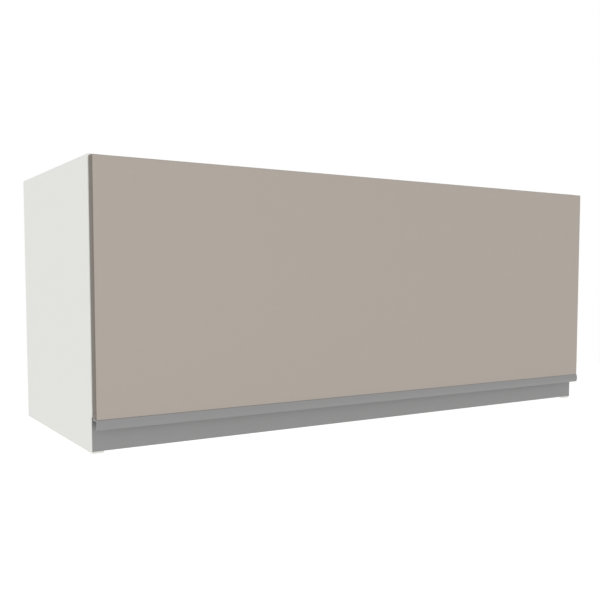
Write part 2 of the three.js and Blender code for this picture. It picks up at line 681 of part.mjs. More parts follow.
// The handle's section: a flange under the door's edge with a barbed tongue in its groove, and a
// lip that swells forward and hangs free of the fascia to leave room for the fingers.
function handleProfile() {
  const top = DOOR_BOTTOM;
  const tip = DOOR_BOTTOM - HANDLE_DROP;
  const flangeEnd = DOOR_BACK - HANDLE_BACK_SETBACK;
  const halfDrop = HANDLE_DROP / 2;
  const outerRadius = (halfDrop ** 2 + HANDLE_BULGE ** 2) / (2 * HANDLE_BULGE);
  const centreY = DOOR_FRONT - HANDLE_BULGE + outerRadius;
  const centreZ = top - halfDrop;
  const innerRadius = outerRadius - HANDLE_WALL;
  const swing = Math.asin(halfDrop / outerRadius);
  const tipRadius = HANDLE_WALL / 2;
  const tipMiddle = outerRadius - tipRadius;
  const tipSwing = Math.asin((halfDrop - tipRadius) / tipMiddle);
  const innerSwing = Math.asin((halfDrop - HANDLE_WALL) / innerRadius);
  const tongueLeft = TONGUE_Y - TONGUE_WIDTH / 2;
  const tongueRight = TONGUE_Y + TONGUE_WIDTH / 2;
  const barbTop = top + TONGUE_BARB + TONGUE_BARB_RISE;
  const shape = new THREE.Shape();
  shape.moveTo(flangeEnd, top);
  shape.lineTo(tongueRight - TONGUE_WAIST / 2, top);
  shape.lineTo(tongueRight - TONGUE_WAIST / 2, top + TONGUE_BARB);
  shape.lineTo(tongueRight, barbTop);
  shape.lineTo(tongueRight - TONGUE_WAIST, top + TONGUE_HEIGHT);
  shape.lineTo(tongueLeft + TONGUE_WAIST, top + TONGUE_HEIGHT);
  shape.lineTo(tongueLeft, barbTop);
  shape.lineTo(tongueLeft + TONGUE_WAIST / 2, top + TONGUE_BARB);
  shape.lineTo(tongueLeft + TONGUE_WAIST / 2, top);
  shape.absarc(centreY, centreZ, outerRadius, Math.PI - swing, Math.PI + tipSwing, false);
  const tipY = centreY - tipMiddle * Math.cos(tipSwing);
  const tipZ = centreZ - tipMiddle * Math.sin(tipSwing);
  shape.absarc(tipY, tipZ, tipRadius, Math.PI + tipSwing, 2 * Math.PI + tipSwing, false);
  shape.absarc(centreY, centreZ, innerRadius, Math.PI + tipSwing, Math.PI - innerSwing, true);
  shape.lineTo(flangeEnd, top - HANDLE_WALL);
  shape.closePath();
  return alongX(shape, -DOOR_WIDTH / 2, DOOR_WIDTH / 2);
}

// ---------------------------------------------------------------- concealed hinges

// The pressed cup with its flange on the door's back, two cheeks for the pin inside, on the right.
function hingeCup() {
  const floorY = DOOR_BACK - CUP_DEPTH;
  const flangeY = DOOR_BACK + CUP_FLANGE;
  const outer = bar("y", CUP_RADIUS, floorY, DOOR_BACK + CUP_FLANGE / 2, HINGE_X, CUP_Z, FINE_ROUND);
  const flangeMiddle = CUP_Z - CUP_FLANGE_DROP;
  const flange = alongY(
    roundedRectangle(
      HINGE_X - CUP_FLANGE_LENGTH / 2,
      flangeMiddle - CUP_FLANGE_HEIGHT / 2,
      HINGE_X + CUP_FLANGE_LENGTH / 2,
      flangeMiddle + CUP_FLANGE_HEIGHT / 2,
      CUP_FLANGE_CORNER,
    ),
    DOOR_BACK,
    flangeY,
  );
  const rim = bar("y", CUP_RADIUS + CUP_RIM, DOOR_BACK, flangeY, HINGE_X, CUP_Z, FINE_ROUND);
  const inside = CUP_RADIUS - CUP_WALL;
  const hollow = bar("y", inside, floorY + CUP_FLOOR, flangeY + OVERCUT, HINGE_X, CUP_Z, FINE_ROUND);
  const pinReach = KNUCKLE_WIDTH / 2 + HINGE_CHEEK_GAP;
  const cheeks = [-1, 1].map((side) => {
    const inner = HINGE_X + side * pinReach;
    const outside = HINGE_X + side * CUP_RADIUS;
    const cheek = block(
      [Math.min(inner, outside), floorY, HINGE_AXIS.y - KNUCKLE_RADIUS - CHEEK_MARGIN],
      [Math.max(inner, outside), HINGE_AXIS.x + KNUCKLE_RADIUS + CHEEK_MARGIN, DOOR_TOP],
    );
    return cheek.intersect(outer);
  });
  const pinHole = bar(
    "x",
    HINGE_PIN_RADIUS + FIT,
    HINGE_X - pinReach - HINGE_PIN_SEAT - FIT,
    HINGE_X + pinReach + HINGE_PIN_SEAT + FIT,
    HINGE_AXIS.x,
    HINGE_AXIS.y,
    SMALL_ROUND,
  );
  const screwZ = flangeMiddle - CUP_SCREW_DROP;
  const screwHoles = [-1, 1].map((side) => {
    const screwX = HINGE_X + side * (CUP_FLANGE_LENGTH / 2 - CUP_SCREW_MARGIN);
    return bar("y", SCREW_HOLE_RADIUS, DOOR_BACK - OVERCUT, flangeY + OVERCUT, screwX, screwZ, SMALL_ROUND);
  });
  const bowl = cut(union(outer, flange, rim), hollow);
  return cut(union(bowl, ...cheeks), pinHole, ...screwHoles);
}

function hingePin() {
  const reach = KNUCKLE_WIDTH / 2 + HINGE_CHEEK_GAP + HINGE_PIN_SEAT;
  return bar("x", HINGE_PIN_RADIUS, HINGE_X - reach, HINGE_X + reach, HINGE_AXIS.x, HINGE_AXIS.y);
}

const ARM_TOP = TOP_UNDERSIDE - PLATE_BASE - FIT;

// The arm: a channel over the mounting plate's rib, which narrows, dips under the door's swing
// and turns up inside the cup to the knuckle round the pin.
function hingeArm() {
  const front = HINGE_AXIS.x - KNUCKLE_RADIUS;
  const back = HINGE_AXIS.x + KNUCKLE_RADIUS;
  const neckTop = HINGE_AXIS.y - ARM_ELBOW_DROP;
  const neckBottom = neckTop - ARM_NECK;
  const armBottom = ARM_TOP - ARM_HEIGHT;
  const finger = new THREE.Shape();
  finger.absarc(HINGE_AXIS.x, HINGE_AXIS.y, KNUCKLE_RADIUS, 0, Math.PI);
  finger.lineTo(front, neckBottom + ARM_BEND);
  finger.absarc(front + ARM_BEND, neckBottom + ARM_BEND, ARM_BEND, Math.PI, 1.5 * Math.PI);
  finger.lineTo(BOARD / 2, neckBottom);
  finger.lineTo(BOARD, armBottom);
  finger.lineTo(ARM_LENGTH / 2, armBottom);
  finger.lineTo(ARM_LENGTH / 2, armBottom + ARM_SHEET);
  finger.lineTo(BOARD, armBottom + ARM_SHEET);
  finger.lineTo(DOOR_BACK + CUP_FLANGE, neckTop);
  finger.lineTo(back + ARM_KNEE, neckTop);
  finger.absarc(back + ARM_KNEE, neckTop + ARM_KNEE, ARM_KNEE, 1.5 * Math.PI, Math.PI, true);
  finger.closePath();
  const neck = alongX(finger, HINGE_X - KNUCKLE_WIDTH / 2, HINGE_X + KNUCKLE_WIDTH / 2, ARC);
  const side = new THREE.Shape();
  side.moveTo(ARM_NOSE, armBottom);
  side.lineTo(ARM_LENGTH - ARM_BEND, armBottom);
  side.absarc(ARM_LENGTH - ARM_BEND, armBottom + ARM_BEND, ARM_BEND, -Math.PI / 2, 0);
  side.lineTo(ARM_LENGTH, ARM_TOP);
  side.lineTo(BOARD, ARM_TOP);
  side.closePath();
  const body = alongX(side, HINGE_X - ARM_WIDTH / 2, HINGE_X + ARM_WIDTH / 2, SMALL_ARC);
  const channel = block(
    [HINGE_X - PLATE_RIB_WIDTH / 2 - FIT, BOARD, armBottom + ARM_SHEET],
    [HINGE_X + PLATE_RIB_WIDTH / 2 + FIT, ARM_LENGTH + OVERCUT, ARM_TOP + OVERCUT],
  );
  const slot = new THREE.Shape();
  const slotReach = ARM_SLOT_LENGTH / 2;
  slot.absarc(HINGE_X, ARM_SLOT_SETBACK + slotReach, ARM_SLOT_WIDTH / 2, 0, Math.PI);
  slot.absarc(HINGE_X, ARM_SLOT_SETBACK - slotReach, ARM_SLOT_WIDTH / 2, Math.PI, 2 * Math.PI);
  const slotGeometry = new THREE.ExtrudeGeometry(slot, {
    depth: ARM_SHEET + 2 * OVERCUT,
    bevelEnabled: false,
    curveSegments: ARC,
  });
  slotGeometry.translate(0, 0, armBottom - OVERCUT);
  const pinHole = bar(
    "x",
    HINGE_PIN_RADIUS + HINGE_PIN_CLEARANCE,
    HINGE_X - KNUCKLE_WIDTH,
    HINGE_X + KNUCKLE_WIDTH,
    HINGE_AXIS.x,
    HINGE_AXIS.y,
  );
  return cut(cut(body, channel).add(neck), pinHole, solid(slotGeometry));
}

// The mounting plate under the top panel: a cross-shaped base and the rib that carries the arm.
function hingePlate() {
  const middleY = PLATE_SETBACK + PLATE_LENGTH / 2;
  const wings = new THREE.ExtrudeGeometry(
    roundedRectangle(
      HINGE_X - PLATE_WIDTH / 2,
      middleY - PLATE_WING_DEPTH / 2,
      HINGE_X + PLATE_WIDTH / 2,
      middleY + PLATE_WING_DEPTH / 2,
      PLATE_WING_DEPTH / 2 - FIT,
    ),
    { depth: PLATE_BASE, bevelEnabled: false, curveSegments: ARC },
  );
  wings.translate(0, 0, TOP_UNDERSIDE - PLATE_BASE);
  const spine = block(
    [HINGE_X - ARM_WIDTH / 2, PLATE_SETBACK, TOP_UNDERSIDE - PLATE_BASE],
    [HINGE_X + ARM_WIDTH / 2, PLATE_SETBACK + PLATE_LENGTH, TOP_UNDERSIDE],
  );
  const rib = block(
    [HINGE_X - PLATE_RIB_WIDTH / 2, PLATE_SETBACK, TOP_UNDERSIDE - PLATE_BASE - PLATE_RIB_HEIGHT],
    [HINGE_X + PLATE_RIB_WIDTH / 2, PLATE_SETBACK + PLATE_LENGTH, TOP_UNDERSIDE],
  );
  const holeStart = TOP_UNDERSIDE - PLATE_BASE - OVERCUT;
  const screwHoles = [-1, 1].map((side) => {
    const screwX = HINGE_X + (side * PLATE_SCREW_SPACING) / 2;
    return bar("z", SCREW_HOLE_RADIUS, holeStart, TOP_UNDERSIDE + OVERCUT, screwX, middleY, SMALL_ROUND);
  });
  return cut(union(solid(wings), spine, rib), ...screwHoles);
}

// ---------------------------------------------------------------- lift arms

// Distances from the side panel's inner face turned into x, on the right. The far one comes first.
const fromSide = (distance) => SIDE_INNER - distance;
const layer = (from, to) => [fromSide(to), fromSide(from)];

// The housing's outline: a drum round the lever's axis and a tail towards the wall.
function housingOutline(inset) {
  const radius = COVER_DRUM_RADIUS - inset;
  const halfTail = COVER_TAIL_HEIGHT / 2 - inset;
  const corner = COVER_CORNER - inset;
  const end = LEVER_AXIS.x + COVER_TAIL_LENGTH - inset;
  const spread = Math.asin(halfTail / radius);
  const shape = new THREE.Shape();
  shape.absarc(LEVER_AXIS.x, LEVER_AXIS.y, radius, spread, 2 * Math.PI - spread);
  shape.lineTo(end - corner, LEVER_AXIS.y - halfTail);
  shape.absarc(end - corner, LEVER_AXIS.y - halfTail + corner, corner, -Math.PI / 2, 0);
  shape.absarc(end - corner, LEVER_AXIS.y + halfTail - corner, corner, 0, Math.PI / 2);
  return shape;
}

// The middle of the post under the spring's leg.
const SPRING_POST = new THREE.Vector2(
  LEVER_AXIS.x + SPRING_LEG - SPRING_POST_RADIUS,
  LEVER_AXIS.y + SPRING_RADIUS - SPRING_WIRE / 2 - SPRING_POST_RADIUS - FIT,
);

// The hole round the shaft, through the layers between two distances from the side panel.
function shaftHole(from, to) {
  return bar("x", SHAFT_RADIUS + FIT, ...layer(from - OVERCUT, to + OVERCUT), LEVER_AXIS.x, LEVER_AXIS.y);
}

// The steel plate that is screwed to the side panel, with the post that the spring's leg bears on.
function liftPlate() {
  const blank = alongX(housingOutline(0), ...layer(0, LIFT_PLATE), ARC);
  const postReach = layer(0, COVER_TOP - COVER_WALL - FIT);
  const post = bar("x", SPRING_POST_RADIUS, ...postReach, SPRING_POST.x, SPRING_POST.y);
  return cut(blank, shaftHole(0, LIFT_PLATE)).add(post);
}

// The moulded cover over the spring, open towards the plate.
function liftCover() {
  const shell = alongX(housingOutline(0), ...layer(LIFT_PLATE, COVER_TOP), ARC);
  const hollowReach = layer(LIFT_PLATE - OVERCUT, COVER_TOP - COVER_WALL);
  const hollow = alongX(housingOutline(COVER_WALL), ...hollowReach, ARC);
  const [face] = layer(0, COVER_TOP);
  const halfGroove = COVER_TAIL_HEIGHT / 2 - COVER_CORNER;
  const grooves = Array.from({ length: COVER_GROOVES }, (_, count) => {
    const y = LEVER_AXIS.x + COVER_GROOVE_SETBACK + count * COVER_GROOVE_PITCH;
    return block(
      [face - OVERCUT, y, LEVER_AXIS.y - halfGroove],
      [face + COVER_GROOVE_DEPTH, y + COVER_GROOVE_WIDTH, LEVER_AXIS.y + halfGroove],
    );
  });
  return cut(shell, hollow, shaftHole(LIFT_PLATE, COVER_TOP), ...grooves);
}

// The torsion spring round the shaft, with a straight leg over the plate's post.
class SpringRun extends THREE.Curve {
  constructor(x0) {
    super();
    this.x0 = x0;
    this.turnLength = 2 * Math.PI * SPRING_RADIUS;
    this.legShare = SPRING_LEG / (SPRING_LEG + SPRING_TURNS * this.turnLength);
  }

  getPoint(t, target = new THREE.Vector3()) {
    const top = LEVER_AXIS.y + SPRING_RADIUS;
    if (t < this.legShare) {
      return target.set(this.x0, LEVER_AXIS.x + SPRING_LEG * (1 - t / this.legShare), top);
    }
    const turns = (SPRING_TURNS * (t - this.legShare)) / (1 - this.legShare);
    const angle = turns * 2 * Math.PI;
    const climb = turns * (SPRING_WIRE + SPRING_TURN_GAP);
    return target.set(
      this.x0 - climb,
      LEVER_AXIS.x - SPRING_RADIUS * Math.sin(angle),
      LEVER_AXIS.y + SPRING_RADIUS * Math.cos(angle),
    );
  }
}

function liftSpring() {
  const start = SIDE_INNER - LIFT_PLATE - FIT - SPRING_WIRE / 2;
  const wire = new THREE.Shape();
  for (let i = 0; i < WIRE_SIDES; i++) {
    const angle = (i / WIRE_SIDES) * 2 * Math.PI;
    const place = [(SPRING_WIRE / 2) * Math.cos(angle), (SPRING_WIRE / 2) * Math.sin(angle)];
    if (i) wire.lineTo(...place);
    else wire.moveTo(...place);
  }
  wire.closePath();
  const geometry = new THREE.ExtrudeGeometry(wire, {
    steps: TURN_STEPS * SPRING_TURNS + LEG_STEPS,
    extrudePath: new SpringRun(start),
  });
  return solid(geometry);
}

// The shaft: it turns in the plate and the cover, and the lever is riveted to its neck.
function liftShaft() {
  const neckStart = COVER_TOP + LINK_GAP / 2;
  const neckEnd = LEVER_LAYER + LEVER_THICKNESS + FIT;
  return turned(
    [
      [fromSide(neckEnd + SHAFT_HEAD), SHAFT_HEAD_RADIUS - SHAFT_CHAMFER],
      [fromSide(neckEnd + SHAFT_HEAD - SHAFT_CHAMFER), SHAFT_HEAD_RADIUS],
      [fromSide(neckEnd), SHAFT_HEAD_RADIUS],
      [fromSide(neckEnd), SHAFT_NECK_RADIUS],
      [fromSide(neckStart), SHAFT_NECK_RADIUS],
      [fromSide(neckStart), SHAFT_RADIUS],
      [fromSide(FIT), SHAFT_RADIUS],
    ],
    LEVER_AXIS.x,
    LEVER_AXIS.y,
  );
}

function liftLever() {
  const outline = belt(LEVER_AXIS, LEVER_HUB_RADIUS, ELBOW, LEVER_EYE_RADIUS);
  const reach = layer(LEVER_LAYER, LEVER_LAYER + LEVER_THICKNESS);
  const wide = layer(LEVER_LAYER - OVERCUT, LEVER_LAYER + LEVER_THICKNESS + OVERCUT);
  const neckHole = bar("x", SHAFT_NECK_RADIUS + FIT, ...wide, LEVER_AXIS.x, LEVER_AXIS.y);
  const rivetHole = bar("x", RIVET_RADIUS + FIT, ...wide, ELBOW.x, ELBOW.y);
  return cut(alongX(outline, ...reach), neckHole, rivetHole);
}

function liftLink() {
  const outline = belt(ELBOW, LEVER_EYE_RADIUS, BRACKET_PIN, LINK_EYE_RADIUS);
  const reach = layer(LINK_LAYER, LINK_LAYER + LINK_THICKNESS);
  const wide = layer(LINK_LAYER - OVERCUT, LINK_LAYER + LINK_THICKNESS + OVERCUT);
  const holes = [ELBOW, BRACKET_PIN].map((place) =>
    bar("x", RIVET_RADIUS + FIT, ...wide, place.x, place.y),
  );
  return cut(alongX(outline, ...reach), ...holes);
}

// A rivet through two plates, from the far face of the inner one to the near face of the other.
function rivet(place, from, to) {
  return turned(
    [
      [fromSide(to + FIT + RIVET_HEAD), RIVET_HEAD_RADIUS - RIVET_CHAMFER],
      [fromSide(to + FIT), RIVET_HEAD_RADIUS],
      [fromSide(to + FIT), RIVET_RADIUS],
      [fromSide(from - FIT), RIVET_RADIUS],
      [fromSide(from - FIT), RIVET_HEAD_RADIUS],
      [fromSide(from - FIT - RIVET_HEAD), RIVET_HEAD_RADIUS - RIVET_CHAMFER],
    ],
    place.x,
    place.y,
  );
}

const elbowRivet = () => rivet(ELBOW, LEVER_LAYER, LINK_LAYER + LINK_THICKNESS);
const bracketRivet = () => rivet(BRACKET_PIN, EAR_LAYER, LINK_LAYER + LINK_THICKNESS);

// The angle bracket on the door's back, with the ear that holds the link's rivet.
function doorBracket() {
  const [earX0, earX1] = layer(EAR_LAYER, EAR_LAYER + BRACKET_EAR);
  const z0 = BRACKET_PIN.y - BRACKET_HEIGHT / 2;
  const z1 = BRACKET_PIN.y + BRACKET_HEIGHT / 2;
  const middleX = (earX1 + SIDE_INNER - BRACKET_SIDE_GAP) / 2;
  const plate = alongY(
    roundedRectangle(earX0, z0, SIDE_INNER - BRACKET_SIDE_GAP, z1, BRACKET_CORNER),
    DOOR_BACK,
    DOOR_BACK + BRACKET_PLATE,
    SMALL_ARC,
  );
  const earRoot = DOOR_BACK + BRACKET_PLATE / 2;
  const earLean = Math.PI / 2 - BRACKET_EAR_LEAN;
  const ear = new THREE.Shape();
  ear.moveTo(earRoot, BRACKET_PIN.y - BRACKET_EAR_FOOT);
  ear.lineTo(DOOR_BACK + BRACKET_PLATE, BRACKET_PIN.y - BRACKET_EAR_FOOT);
  ear.absarc(BRACKET_PIN.x, BRACKET_PIN.y, LINK_EYE_RADIUS, -earLean, earLean);
  ear.lineTo(DOOR_BACK + BRACKET_PLATE, BRACKET_PIN.y + BRACKET_EAR_FOOT);
  ear.lineTo(earRoot, BRACKET_PIN.y + BRACKET_EAR_FOOT);
  ear.closePath();
  const wide = [earX0 - OVERCUT, earX1 + OVERCUT];
  const hole = bar("x", RIVET_RADIUS + FIT, ...wide, BRACKET_PIN.x, BRACKET_PIN.y);
  const holeEnd = DOOR_BACK + BRACKET_PLATE + OVERCUT;
  const screwHoles = [-1, 1].map((side) => {
    const screwZ = BRACKET_PIN.y + (side * BRACKET_SCREW_SPACING) / 2;
    return bar("y", SCREW_HOLE_RADIUS, DOOR_BACK - OVERCUT, holeEnd, middleX, screwZ, SMALL_ROUND);
  });
  return cut(plate.add(alongX(ear, earX0, earX1, ARC)), hole, ...screwHoles);
}

// ---------------------------------------------------------------- assembly

const cabinet = new THREE.Group();
const carcass = new THREE.Group();
const door = new THREE.Group();
const lifts = new THREE.Group();
cabinet.add(carcass, door, lifts);

// A piece at each side: the right one as modelled and its mirror image on the left.
function pair(group, name, made, material) {
  group.add(piece(`${name}_right`, made, material));
  group.add(piece(`${name}_left`, mirrored(made), material));
}

pair(carcass, "side_panel", sidePanel(), whiteBoard);
carcass.add(piece("top_panel", topPanel(), whiteBoard));
carcass.add(piece("bottom_panel", bottomPanel(), whiteBoard));
carcass.add(piece("back_panel", backPanel(), whiteHardboard));
carcass.add(piece("hanging_rail", hangingRail(), whiteBoard));
carcass.add(piece("lower_rear_rail", lowerRearRail(), whiteBoard));
carcass.add(piece("front_rail", frontRail(), whiteBoard));
carcass.add(piece("fascia", fascia(), satinAluminium));
for (const place of connectorPlaces()) {
  pair(carcass, `cam_${place.level}_${place.end}`, cam(place), zincSteel);
  pair(carcass, `bolt_${place.level}_${place.end}`, connectingBolt(place), zincSteel);
}
pair(carcass, "bumper", bumper(), softPlastic);
pair(carcass, "hanger_body", hangerBody(), greyPlastic);
pair(carcass, "hanger_hook", hangerHook(), zincSteel);

door.add(piece("door_panel", doorPanel(), taupeBoard));
door.add(piece("handle_profile", handleProfile(), satinAluminium));
pair(door, "hinge_cup", hingeCup(), zincSteel);
pair(door, "hinge_pin", hingePin(), zincSteel);
pair(door, "door_bracket", doorBracket(), zincSteel);
pair(door, "bracket_rivet", bracketRivet(), zincSteel);
pair(carcass, "hinge_arm", hingeArm(), zincSteel);
pair(carcass, "hinge_plate", hingePlate(), zincSteel);

pair(lifts, "lift_plate", liftPlate(), zincSteel);
pair(lifts, "lift_cover", liftCover(), greyPlastic);
pair(lifts, "lift_spring", liftSpring(), springSteel);
pair(lifts, "lift_shaft", liftShaft(), zincSteel);
pair(lifts, "lift_lever", liftLever(), zincSteel);
pair(lifts, "lift_link", liftLink(), zincSteel);
pair(lifts, "elbow_rivet", elbowRivet(), zincSteel);

// The origin lies on the underside, in the middle of the width and of the depth over all.
cabinet.position.y = (FRONT_REACH - CARCASS_DEPTH) / 2;

export default cabinet;
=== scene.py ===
"""Looks of a lift-up kitchen wall cabinet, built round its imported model.

The white carcass, the taupe flap door, the aluminium handle profile and fascia and the steel
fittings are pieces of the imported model. This script gives each of them its finish, adds the heads
of the small screws, and sets up the camera, the lamps and the floor. Lengths are in metres.
"""

import logging
import math
from dataclasses import dataclass
from enum import Enum

import bmesh
import bpy
from mathutils import Matrix, Vector


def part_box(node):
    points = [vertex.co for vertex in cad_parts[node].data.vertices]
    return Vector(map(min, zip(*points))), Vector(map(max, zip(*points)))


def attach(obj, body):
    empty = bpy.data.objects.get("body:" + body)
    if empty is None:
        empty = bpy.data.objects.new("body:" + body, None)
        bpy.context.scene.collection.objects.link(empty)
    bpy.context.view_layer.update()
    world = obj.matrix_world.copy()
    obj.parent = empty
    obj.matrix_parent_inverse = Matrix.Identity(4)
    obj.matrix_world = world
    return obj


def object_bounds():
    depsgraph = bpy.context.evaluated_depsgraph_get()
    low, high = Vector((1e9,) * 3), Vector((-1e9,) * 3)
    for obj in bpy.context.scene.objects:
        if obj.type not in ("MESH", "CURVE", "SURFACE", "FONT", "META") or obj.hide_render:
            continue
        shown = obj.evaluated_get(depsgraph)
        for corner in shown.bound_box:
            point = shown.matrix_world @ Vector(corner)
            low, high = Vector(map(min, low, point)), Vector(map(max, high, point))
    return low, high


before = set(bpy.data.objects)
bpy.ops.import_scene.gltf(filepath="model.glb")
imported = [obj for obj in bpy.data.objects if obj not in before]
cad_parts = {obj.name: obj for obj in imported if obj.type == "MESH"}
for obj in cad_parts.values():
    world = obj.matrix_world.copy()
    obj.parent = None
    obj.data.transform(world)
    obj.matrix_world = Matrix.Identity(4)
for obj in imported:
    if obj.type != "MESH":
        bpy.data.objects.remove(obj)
CAD_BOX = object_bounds()

LOG = logging.getLogger("cabinet")
MM = 0.001
SHARP_BEND = math.radians(32)  # an edge that bends by more than this stays sharp
WELD = 0.002 * MM  # vertices of a node that lie closer than this become one

Colour = tuple[float, float, float]
Feed = float | bpy.types.NodeSocket


class Body(Enum):
    """The bodies that the screws ride on."""

    CARCASS = "carcass"
    DOOR = "door"


class Side(Enum):
    """The two sides of the cabinet, each with its sign along x."""

    LEFT = -1
    RIGHT = 1

    @property
    def suffix(self) -> str:
        """The end of this side's node names."""
        return self.name.lower()


class Axis(Enum):
    """An axis of the frame: across a board, or along the lines of a brushed finish."""

    X = 0
    Y = 1
    Z = 2


class Facing(Enum):
    """The way that a screw's head looks."""

    FRONT = (0, -1, 0)
    BACK = (0, 1, 0)
    LEFT = (-1, 0, 0)
    RIGHT = (1, 0, 0)
    DOWN = (0, 0, -1)


class Kind(Enum):
    """The kinds of socket that a shader group has."""

    COLOUR = "NodeSocketColor"
    NUMBER = "NodeSocketFloat"
    VECTOR = "NodeSocketVector"


def linear(red: int, green: int, blue: int) -> Colour:
    """Turns a colour of 0 to 255 per channel into the linear values that shaders take.

    Args:
        red: Red, 0 to 255.
        green: Green, 0 to 255.
        blue: Blue, 0 to 255.

    Returns:
        The three linear channels, 0 to 1.
    """

    def channel(value: int) -> float:
        """Takes the display curve off one channel."""
        share = value / 255
        return share / 12.92 if share <= 0.04045 else ((share + 0.055) / 1.055) ** 2.4

    return channel(red), channel(green), channel(blue)


# ---------------------------------------------------------------- shader effects


@dataclass(frozen=True)
class Socket:
    """A named socket of a shader group."""

    name: str
    kind: Kind = Kind.NUMBER
    default: float | tuple[float, ...] | None = None


class GroupMaker:
    """Builds one shader node group with named sockets."""

    def __init__(
        self, name: str, inputs: tuple[Socket, ...], outputs: tuple[Socket, ...]
    ) -> None:
        """Starts a group that holds nothing but its sockets.

        Args:
            name: Name of the group.
            inputs: What it takes.
            outputs: What it puts out.
        """
        self.tree = bpy.data.node_groups.new(name, "ShaderNodeTree")
        for direction, sockets in (("INPUT", inputs), ("OUTPUT", outputs)):
            for socket in sockets:
                made = self.tree.interface.new_socket(
                    name=socket.name, in_out=direction, socket_type=socket.kind.value
                )
                if socket.default is not None:
                    made.default_value = socket.default
        self.start = self.tree.nodes.new("NodeGroupInput")
        self.end = self.tree.nodes.new("NodeGroupOutput")

    def given(self, name: str) -> bpy.types.NodeSocket:
        """Returns the socket of one of the group's inputs."""
        return self.start.outputs[name]

    def give(self, name: str, source: bpy.types.NodeSocket) -> None:
        """Joins a socket to one of the group's outputs."""
        self.tree.links.new(source, self.end.inputs[name])

    def feed(self, target: bpy.types.NodeSocket, value: Feed) -> None:
        """Gives an input a number, or joins a socket to it.

        Args:
            target: The input.
            value: The number or the socket.
        """
        if isinstance(value, bpy.types.NodeSocket):
            self.tree.links.new(value, target)
        else:
            target.default_value = value

    def node(self, kind: str, *values: Feed, **settings: str) -> bpy.types.Node:
        """Adds a node and feeds its first inputs.

        Args:
            kind: Node type without its ShaderNode prefix.
            *values: Its first inputs in order.
            **settings: Properties to set on it.

        Returns:
            The new node.
        """
        made = self.tree.nodes.new(f"ShaderNode{kind}")
        for key, setting in settings.items():
            setattr(made, key, setting)
        for place, value in enumerate(values):
            self.feed(made.inputs[place], value)
        return made

    def places(self) -> bpy.types.NodeSocket:
        """Returns where each point of the surface lies, in the object's coordinates."""
        return self.node("TexCoord").outputs["Object"]

    def maths(self, operation: str, *values: Feed) -> bpy.types.NodeSocket:
        """Returns the result of a Math node on numbers and sockets."""
        return self.node("Math", *values, operation=operation).outputs["Value"]

    def vector(self, operation: str, *values: Feed) -> bpy.types.NodeSocket:
        """Returns the result of a Vector Math node on sockets."""
        return self.node("VectorMath", *values, operation=operation).outputs["Vector"]

    def noise(
        self, vector: bpy.types.NodeSocket, scale: Feed, detail: float, roughness: float = 0.5
    ) -> bpy.types.NodeSocket:
        """Adds a noise texture.

        Args:
            vector: Where it is read.
            scale: Features per metre.
            detail: Octaves.
            roughness: Weight of the finer octaves.

        Returns:
            Its factor, about 0 to 1.
        """
        made = self.node("TexNoise")
        self.feed(made.inputs["Vector"], vector)
        self.feed(made.inputs["Scale"], scale)
        self.feed(made.inputs["Detail"], detail)
        self.feed(made.inputs["Roughness"], roughness)
        return made.outputs["Fac"]

    def blend(
        self, first: bpy.types.NodeSocket, second: bpy.types.NodeSocket, share: float
    ) -> bpy.types.NodeSocket:
        """Mixes two factors.

        Args:
            first: The first factor.
            second: The second factor.
            share: How much of the mix is the first.

        Returns:
            The mix.
        """
        return self.maths(
            "ADD",
            self.maths("MULTIPLY", first, share),
            self.maths("MULTIPLY", second, 1 - share),
        )

    def spread(
        self, value: bpy.types.NodeSocket, amount: bpy.types.NodeSocket, base: Feed
    ) -> bpy.types.NodeSocket:
        """Turns a factor into base plus or minus half the amount.

        Args:
            value: Factor, 0 to 1.
            amount: Full width of the spread.
            base: Middle value.

        Returns:
            The spread value.
        """
        centred = self.maths("SUBTRACT", value, 0.5)
        return self.maths("ADD", self.maths("MULTIPLY", centred, amount), base)

    def tint(self, pattern: bpy.types.NodeSocket, amount: str) -> None:
        """Puts out the group's colour, lighter and darker by a pattern.

        Args:
            pattern: Factor, 0 to 1.
            amount: Name of the input that says by how much.
        """
        made = self.node("HueSaturation")
        self.feed(made.inputs["Color"], self.given("Color"))
        self.feed(made.inputs["Value"], self.spread(pattern, self.given(amount), 1.0))
        self.give("Color", made.outputs["Color"])

    def gloss(self, pattern: bpy.types.NodeSocket) -> None:
        """Puts out the group's roughness, changed by a pattern.

        Args:
            pattern: Factor, 0 to 1.
        """
        self.give(
            "Roughness",
            self.spread(pattern, self.given("Roughness Spread"), self.given("Roughness")),
        )


SURFACE_OUTPUTS = (Socket("Color", Kind.COLOUR), Socket("Roughness"), Socket("Height"))


def melamine_print() -> bpy.types.NodeTree:
    """The pressed surface of faced board: a faint mottle in the print and a pearl texture.

    Returns:
        The group.
    """
    made = GroupMaker(
        "melamine print",
        (
            Socket("Color", Kind.COLOUR, (0.8, 0.8, 0.8, 1)),
            Socket("Mottle", default=0.02),
            Socket("Roughness", default=0.45),
            Socket("Roughness Spread", default=0.06),
            Socket("Pearl Scale", default=900.0),
        ),
        SURFACE_OUTPUTS,
    )
    places = made.places()
    cloud = made.noise(places, scale=7.0, detail=3.0)
    speck = made.noise(places, scale=420.0, detail=2.0)
    made.tint(made.blend(cloud, speck, share=0.6), "Mottle")
    made.gloss(cloud)
    made.give("Height", made.noise(places, scale=made.given("Pearl Scale"), detail=2.0))
    return made.tree


